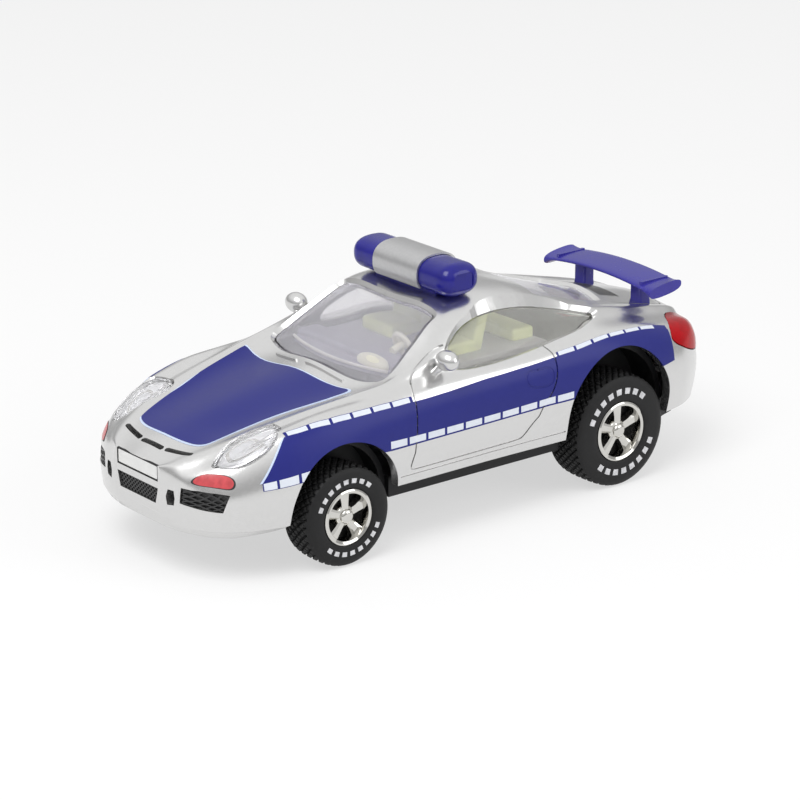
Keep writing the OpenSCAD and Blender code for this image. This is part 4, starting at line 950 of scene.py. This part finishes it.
def tube(a, b, r0, r1, n=20):
    """Round bar from a to b with a radius at each end."""
    way = unit(b - a)
    u = unit(np.cross(way, [0, 0, 1.0]))
    v = np.cross(way, u)
    t = circle(n)[:, None]
    return loft(np.stack([p + r * (np.cos(t) * u + np.sin(t) * v) for p, r in ((a, r0), (b, r1))]))


stalk = unit(STALK)
pod = egg(MIRROR, length=3.1, diameter=2.4)
arm = tube(MIRROR + stalk * 0.4, MIRROR + stalk * 3.6, r0=0.5, r1=0.42)
for side, sign in SIDES:
    piece("mirror_pod_" + side, on_side(pod, sign), SILVER, "body_silver", "mirror_" + side)
    piece("mirror_arm_" + side, on_side(arm, sign), SILVER, "body_silver")

# Cabin
FLOOR = 17.1
CABIN_BACK = -13
CABIN_FRONT = 8.8
CABIN_HALF = 9.6
SEAT_Z = FLOOR + 0.5
CUSHION = FLOOR + 2.1  # top of seats and bench
SEAT_Y = 4.7
SEAT_HALF = 2.7
SEAT_BACK_X = -5
BENCH_HALF = 7.4
DASH_FRONT = 10.95
DASH_BOW = 0.021
DASH_HALF = 8.6
DASH_BACK = 8.0
DASH_TOP = 18.3
DASH_RIM = 0.17


def block(name, mat, low, high, r, *stands_for, lean=0.0):
    """Box with rounded edges in the cabin; lean shifts its top back."""
    low, high = np.array(low, float), np.array(high, float)
    bm = bmesh.new()
    bmesh.ops.create_cube(bm, size=1)
    for v in bm.verts:
        p = (low + high) / 2 + np.array(v.co) * (high - low)
        p[0] -= lean * (p[2] - low[2])
        v.co = p * MM
    bmesh.ops.bevel(bm, geom=bm.edges[:], offset=r * MM, segments=5, profile=0.6, affect="EDGES")
    data = bpy.data.meshes.new(name)
    bm.to_mesh(data)
    bm.free()
    ob = added(name, data)
    tidy_normals(ob, 60)
    data.materials.append(mat)
    place(ob, "car", "cabin_cream", *stands_for)


def dash_rim(edge, out):
    """Round rim along the bowed edge of the dashboard."""
    t = circle(12)[:, None]
    z = DASH_TOP + DASH_RIM * np.sin(t)
    return loft(np.stack([np.concatenate([p + n * DASH_RIM * np.cos(t), z], 1) for p, n in zip(edge, out)]))


block("cabin_floor", PLUM, (CABIN_BACK, -CABIN_HALF, FLOOR), (CABIN_FRONT, CABIN_HALF, FLOOR + 0.8), 0.2,
      "cabin_tub")
for side, sign in SIDES:
    y0, y1 = sign * SEAT_Y - SEAT_HALF, sign * SEAT_Y + SEAT_HALF
    block("seat_" + side, LIME, (SEAT_BACK_X, y0, SEAT_Z), (0.6, y1, CUSHION), r=0.5)
    block("seat_back_" + side, LIME, (SEAT_BACK_X, y0, SEAT_Z), (-3.4, y1, FLOOR + 5.2), r=0.5, lean=0.25)
block("bench", LIME, (-12.8, -BENCH_HALF, SEAT_Z), (-9.6, BENCH_HALF, CUSHION), r=0.5)
piece("binnacle", egg((8.9, 5.4, FLOOR + 1.4), length=5.4, diameter=2.0), CREAM, "cabin_cream")
dash_y = np.linspace(-DASH_HALF, DASH_HALF, 25)
dash_edge = np.stack([DASH_FRONT - DASH_BOW * dash_y ** 2, dash_y], -1)
dash_out = unit(np.stack([1 + 0 * dash_y, 2 * DASH_BOW * dash_y], -1))
dash_plan = np.concatenate([dash_edge, [[DASH_BACK, DASH_HALF], [DASH_BACK, -DASH_HALF]]])
piece("dash_top", prism(dash_plan, 2, DASH_TOP - 0.6, DASH_TOP), PLUM, "cabin_cream")
piece("dash_rim", dash_rim(dash_edge, dash_out), IVORY, "cabin_cream")
block("dashboard", PLUM, (5.8, -9, SEAT_Z), (CABIN_FRONT, 9, FLOOR + 1.9), r=0.5)

# Wheels
SHOULDER = 0.55
FLANK = 0.75  # from the tread to the flat side
CROWN_DROP = 0.1
TOOTH = 0.95  # about, round the tread
TOOTH_SLANT = 0.9
TREAD_HALF = 0.17  # of a groove, as a share of a tooth
TREAD_SLOPE = 0.08
TREAD_DEPTH = 0.26
MARK_STARTS = [start + k * 15 for start in (20, 200) for k in range(8)]
MARK_SWEEP = 8.5
SPOKES = 5
SPOKE_BACK = 1.6
SPOKE_BEVEL = 0.2
SPOKE_FLAT = 0.55
RIM_WALL = 0.5
AXIS_R = 0.001  # just off the axis
HUB = [(AXIS_R, 0.1), (0.35, 0.1), (0.62, 0.16), (0.8, 0.3), (0.85, 0.5), (1.1, 0.62), (1.3, 1.0),
       (1.3, 2.4), (AXIS_R, 2.4)]
# Depths of the black disc behind the spokes: a painted shade for the dark gaps between them
GAP_SHADE_FRONT = 1.9
GAP_SHADE_BACK = 2.5


def spun(radii, depth, at):
    """Closed ring; radii by angle and profile point, depth in from the outer face."""
    a = circle(len(radii))[:, None]
    x, z = at[0] + radii * np.cos(a), at[2] + radii * np.sin(a)
    y = np.broadcast_to(at[1] - depth, x.shape)
    return np.stack([x, y, z], -1).reshape(-1, 3), grid_faces(*x.shape, closed=True)


def revolve(profile, n, at):
    """Closed ring from a profile of (radius, depth)."""
    p = np.asarray(profile, float)
    return spun(np.repeat(p[None, :, 0], n, 0), p[:, 1], at)


def tyre_mesh(r, width, inner, at, n=420):
    """Tyre with crossed grooves between its shoulders."""
    tread = np.linspace(SHOULDER, width - SHOULDER, 30)
    crown = r - CROWN_DROP * np.abs((tread - width / 2) / (width / 2 - SHOULDER)) ** 3
    wall = [(inner, 0.3), (inner + 0.12, 0.1), (inner + 0.35, 0.0), (inner + 0.9, -0.02), (r - 1.15, 0.0),
            (r - FLANK, 0.06), (r - 0.42, 0.16), (r - 0.2, 0.32)]
    p = np.array(wall + list(zip(crown, tread)) + [(a, width - b) for a, b in wall[::-1]])
    radii = np.repeat(p[None, :, 0], n, 0)
    pitch = 2 * math.pi * r / round(2 * math.pi * r / TOOTH)
    round_at, slant = circle(n)[:, None] * r, tread[None, :] * TOOTH_SLANT
    one, two = (np.abs((round_at + sign * slant) / pitch % 1 - 0.5) for sign in (1, -1))
    groove = np.clip((TREAD_HALF - np.minimum(one, two)) / TREAD_SLOPE, 0, 1)
    radii[:, len(wall):len(wall) + len(tread)] -= TREAD_DEPTH * groove
    return spun(radii, p[:, 1], at)


def ring_bars(at, radius, height, rise, foot):
    """Short curved bars on the side of a tyre."""
    found = []
    for start in MARK_STARTS:
        t = np.radians(start + np.linspace(0, MARK_SWEEP, 5))
        lines = []
        for r, y in ((radius, rise), (radius + height, rise), (radius + height, -foot), (radius, -foot)):
            lines.append(np.stack([at[0] + r * np.cos(t), at[1] + y + 0 * t, at[2] + r * np.sin(t)], -1))
        found.append(loft(np.stack(lines, 1)))
    return joined(found)


def spoke(angle, r_in, r_out, at):
    """One tapered spoke with sloped sides."""
    rings = []
    for r, half, depth in ((r_in, 0.45, 0.5), ((r_in + r_out) / 2, 0.5, 0.5), (r_out, 0.72, 0.55)):
        flank, flat = depth + SPOKE_BEVEL, half * SPOKE_FLAT
        rings.append([(r, -half, SPOKE_BACK), (r, -half, flank), (r, -flat, depth), (r, flat, depth),
                      (r, half, flank), (r, half, SPOKE_BACK)])
    out, across, deep = np.moveaxis(np.array(rings, float), 2, 0)
    c, s = math.cos(angle), math.sin(angle)
    return loft(np.stack([at[0] + out * c - across * s, at[1] - deep, at[2] + out * s + across * c], -1))


def wheel(side, sign, end, at, r, width, rim_r):
    """All pieces of one wheel, and a black disc behind the spokes as painted shade; at is the middle of its
    outer face.
    """

    def add(word, data, mat, angle, *slot_and_node):
        name, body = word + end + "_" + side, end + "_axle_set"
        piece(name, on_side(data, sign), mat, *slot_and_node, body=body, angle=angle)

    add("tyre_", tyre_mesh(r, width, rim_r, at), RUBBER, 40, "tyre_black", end + "_tyre_" + side)
    flat, bed = r - FLANK - rim_r, rim_r - RIM_WALL
    marks = ring_bars(at, rim_r + flat * 0.42, flat * 0.28, rise=0.06, foot=0.12)
    add("tyre_marks_", marks, MARK, SHARP)
    lip = [(rim_r, 0.35), (rim_r + 0.05, 0.05), (rim_r - 0.12, -0.05), (rim_r - 0.42, 0.06),
           (rim_r - 0.55, 0.5), (rim_r - 0.62, 1.4), (bed, width - 0.4), (rim_r - 0.1, width - 0.1),
           (rim_r, width - 0.3)]
    add("rim_", revolve(lip, 96, at), CHROME, 50, "rim_chrome", end + "_rim_" + side)
    angles = [math.radians(90 + 360 / SPOKES * k) for k in range(SPOKES)]
    spokes = joined([spoke(angle, 0.5, bed, at) for angle in angles])
    add("spokes_", spokes, CHROME, 30, "rim_chrome")
    add("hub_", revolve(HUB, 48, at), CHROME, 40, "rim_chrome")
    # Black disc behind the spokes: a painted shade that darkens the gaps between them
    gap_shade = [(AXIS_R, GAP_SHADE_FRONT), (bed, GAP_SHADE_FRONT), (bed, GAP_SHADE_BACK), (AXIS_R, GAP_SHADE_BACK)]
    add("web_", revolve(gap_shade, 64, at), BLACK, 30, "rim_chrome")


for side, sign in SIDES:
    wheel(side, sign, "front", (AXLE_X, 15.2, FRONT_R), FRONT_R, width=4.6, rim_r=3.15)
    wheel(side, sign, "rear", (-AXLE_X, 14.8, REAR_R), REAR_R, width=5.6, rim_r=3.5)

# CAD nodes that stay in view
SHOWN = {"chassis": BLACK, "chassis_screws": STEEL, "motor_case_left": GREY, "motor_case_right": GREY,
         "mainspring": SPRING, "spring_wheel": IVORY, "spring_shaft": STEEL, "transfer_gear": IVORY,
         "transfer_shaft": STEEL, "axle_pinion": BRASS, "rear_axle": STEEL, "front_axle": STEEL,
         "steering_wheel": CREAM}
for name, mat in SHOWN.items():
    nodes[name].data.materials.clear()
    nodes[name].data.materials.append(mat)


# Room and floor
def seen(tree, path):
    """1 for rays that show the background: camera, glossy and transmission."""
    shown = math_node(tree, "MAXIMUM", path.outputs["Is Camera Ray"], path.outputs["Is Glossy Ray"])
    return math_node(tree, "MAXIMUM", shown, path.outputs["Is Transmission Ray"])


def add_room():
    """White room, with walls greyer than the ceiling where the lacquer mirrors it."""
    world = bpy.data.worlds.new("studio")
    world.use_nodes = True
    tree = world.node_tree
    sky = tree.nodes["Background"]
    path = add_node(tree, "LightPath")
    way = add_node(tree, "TexCoord")
    split = add_node(tree, "SeparateXYZ")
    tree.links.new(way.outputs["Generated"], split.inputs[0])
    ceiling = map_node(tree, split.outputs["Z"], "SMOOTHSTEP", From_Min=0.1, From_Max=0.7, To_Min=0.45,
                       To_Max=1.0)
    level = map_node(tree, seen(tree, path), To_Min=0.55, To_Max=1.0)
    drop = math_node(tree, "SUBTRACT", ceiling, 1.0)
    drop = math_node(tree, "MULTIPLY", drop, path.outputs["Is Glossy Ray"])
    tree.links.new(math_node(tree, "ADD", level, drop), sky.inputs["Strength"])
    put(sky, Color=(1, 1, 1, 1))
    return world


def floor_material(glow_share=0.6):
    """Pale matt floor that keeps the shadow and glows where it is seen."""
    mat = bpy.data.materials.new("floor_pale")
    mat.use_nodes = True
    tree = mat.node_tree
    link = tree.links.new
    tree.nodes.remove(tree.nodes["Principled BSDF"])
    matt = add_node(tree, "BsdfDiffuse")
    put(matt, Color=(0.92, 0.92, 0.92, 1))
    glow = add_node(tree, "Emission")
    mix = add_node(tree, "MixShader")
    share = math_node(tree, "MULTIPLY", seen(tree, add_node(tree, "LightPath")), glow_share)
    link(share, mix.inputs["Fac"])
    link(matt.outputs[0], mix.inputs[1])
    link(glow.outputs[0], mix.inputs[2])
    link(mix.outputs[0], tree.nodes["Material Output"].inputs["Surface"])
    return mat


def lamp(name, at, size, power):
    """Square lamp in metres that faces the origin."""
    light = bpy.data.lights.new(name, "AREA")
    light.size, light.energy = size, power
    ob = added(name, light)
    ob.location = at
    ob.rotation_mode = "QUATERNION"
    ob.rotation_quaternion = (-Vector(at)).to_track_quat("-Z", "Y")


GROUND = 6  # half of the floor's side, in metres
scene = bpy.context.scene
scene.view_settings.view_transform = "Standard"
scene.world = add_room()
floor_mesh = bpy.data.meshes.new("floor")
corners = rectangle((-GROUND, -GROUND), (GROUND, GROUND))
floor_mesh.from_pydata([(x, y, 0) for x, y in corners], [], [(0, 1, 2, 3)])
floor_mesh.materials.append(floor_material())
floor = added("floor", floor_mesh)
lamp("key", (0.25, 0.1, 0.45), size=0.3, power=1.6)
lamp("fill", (-0.3, 0.45, 0.25), size=0.35, power=0.8)
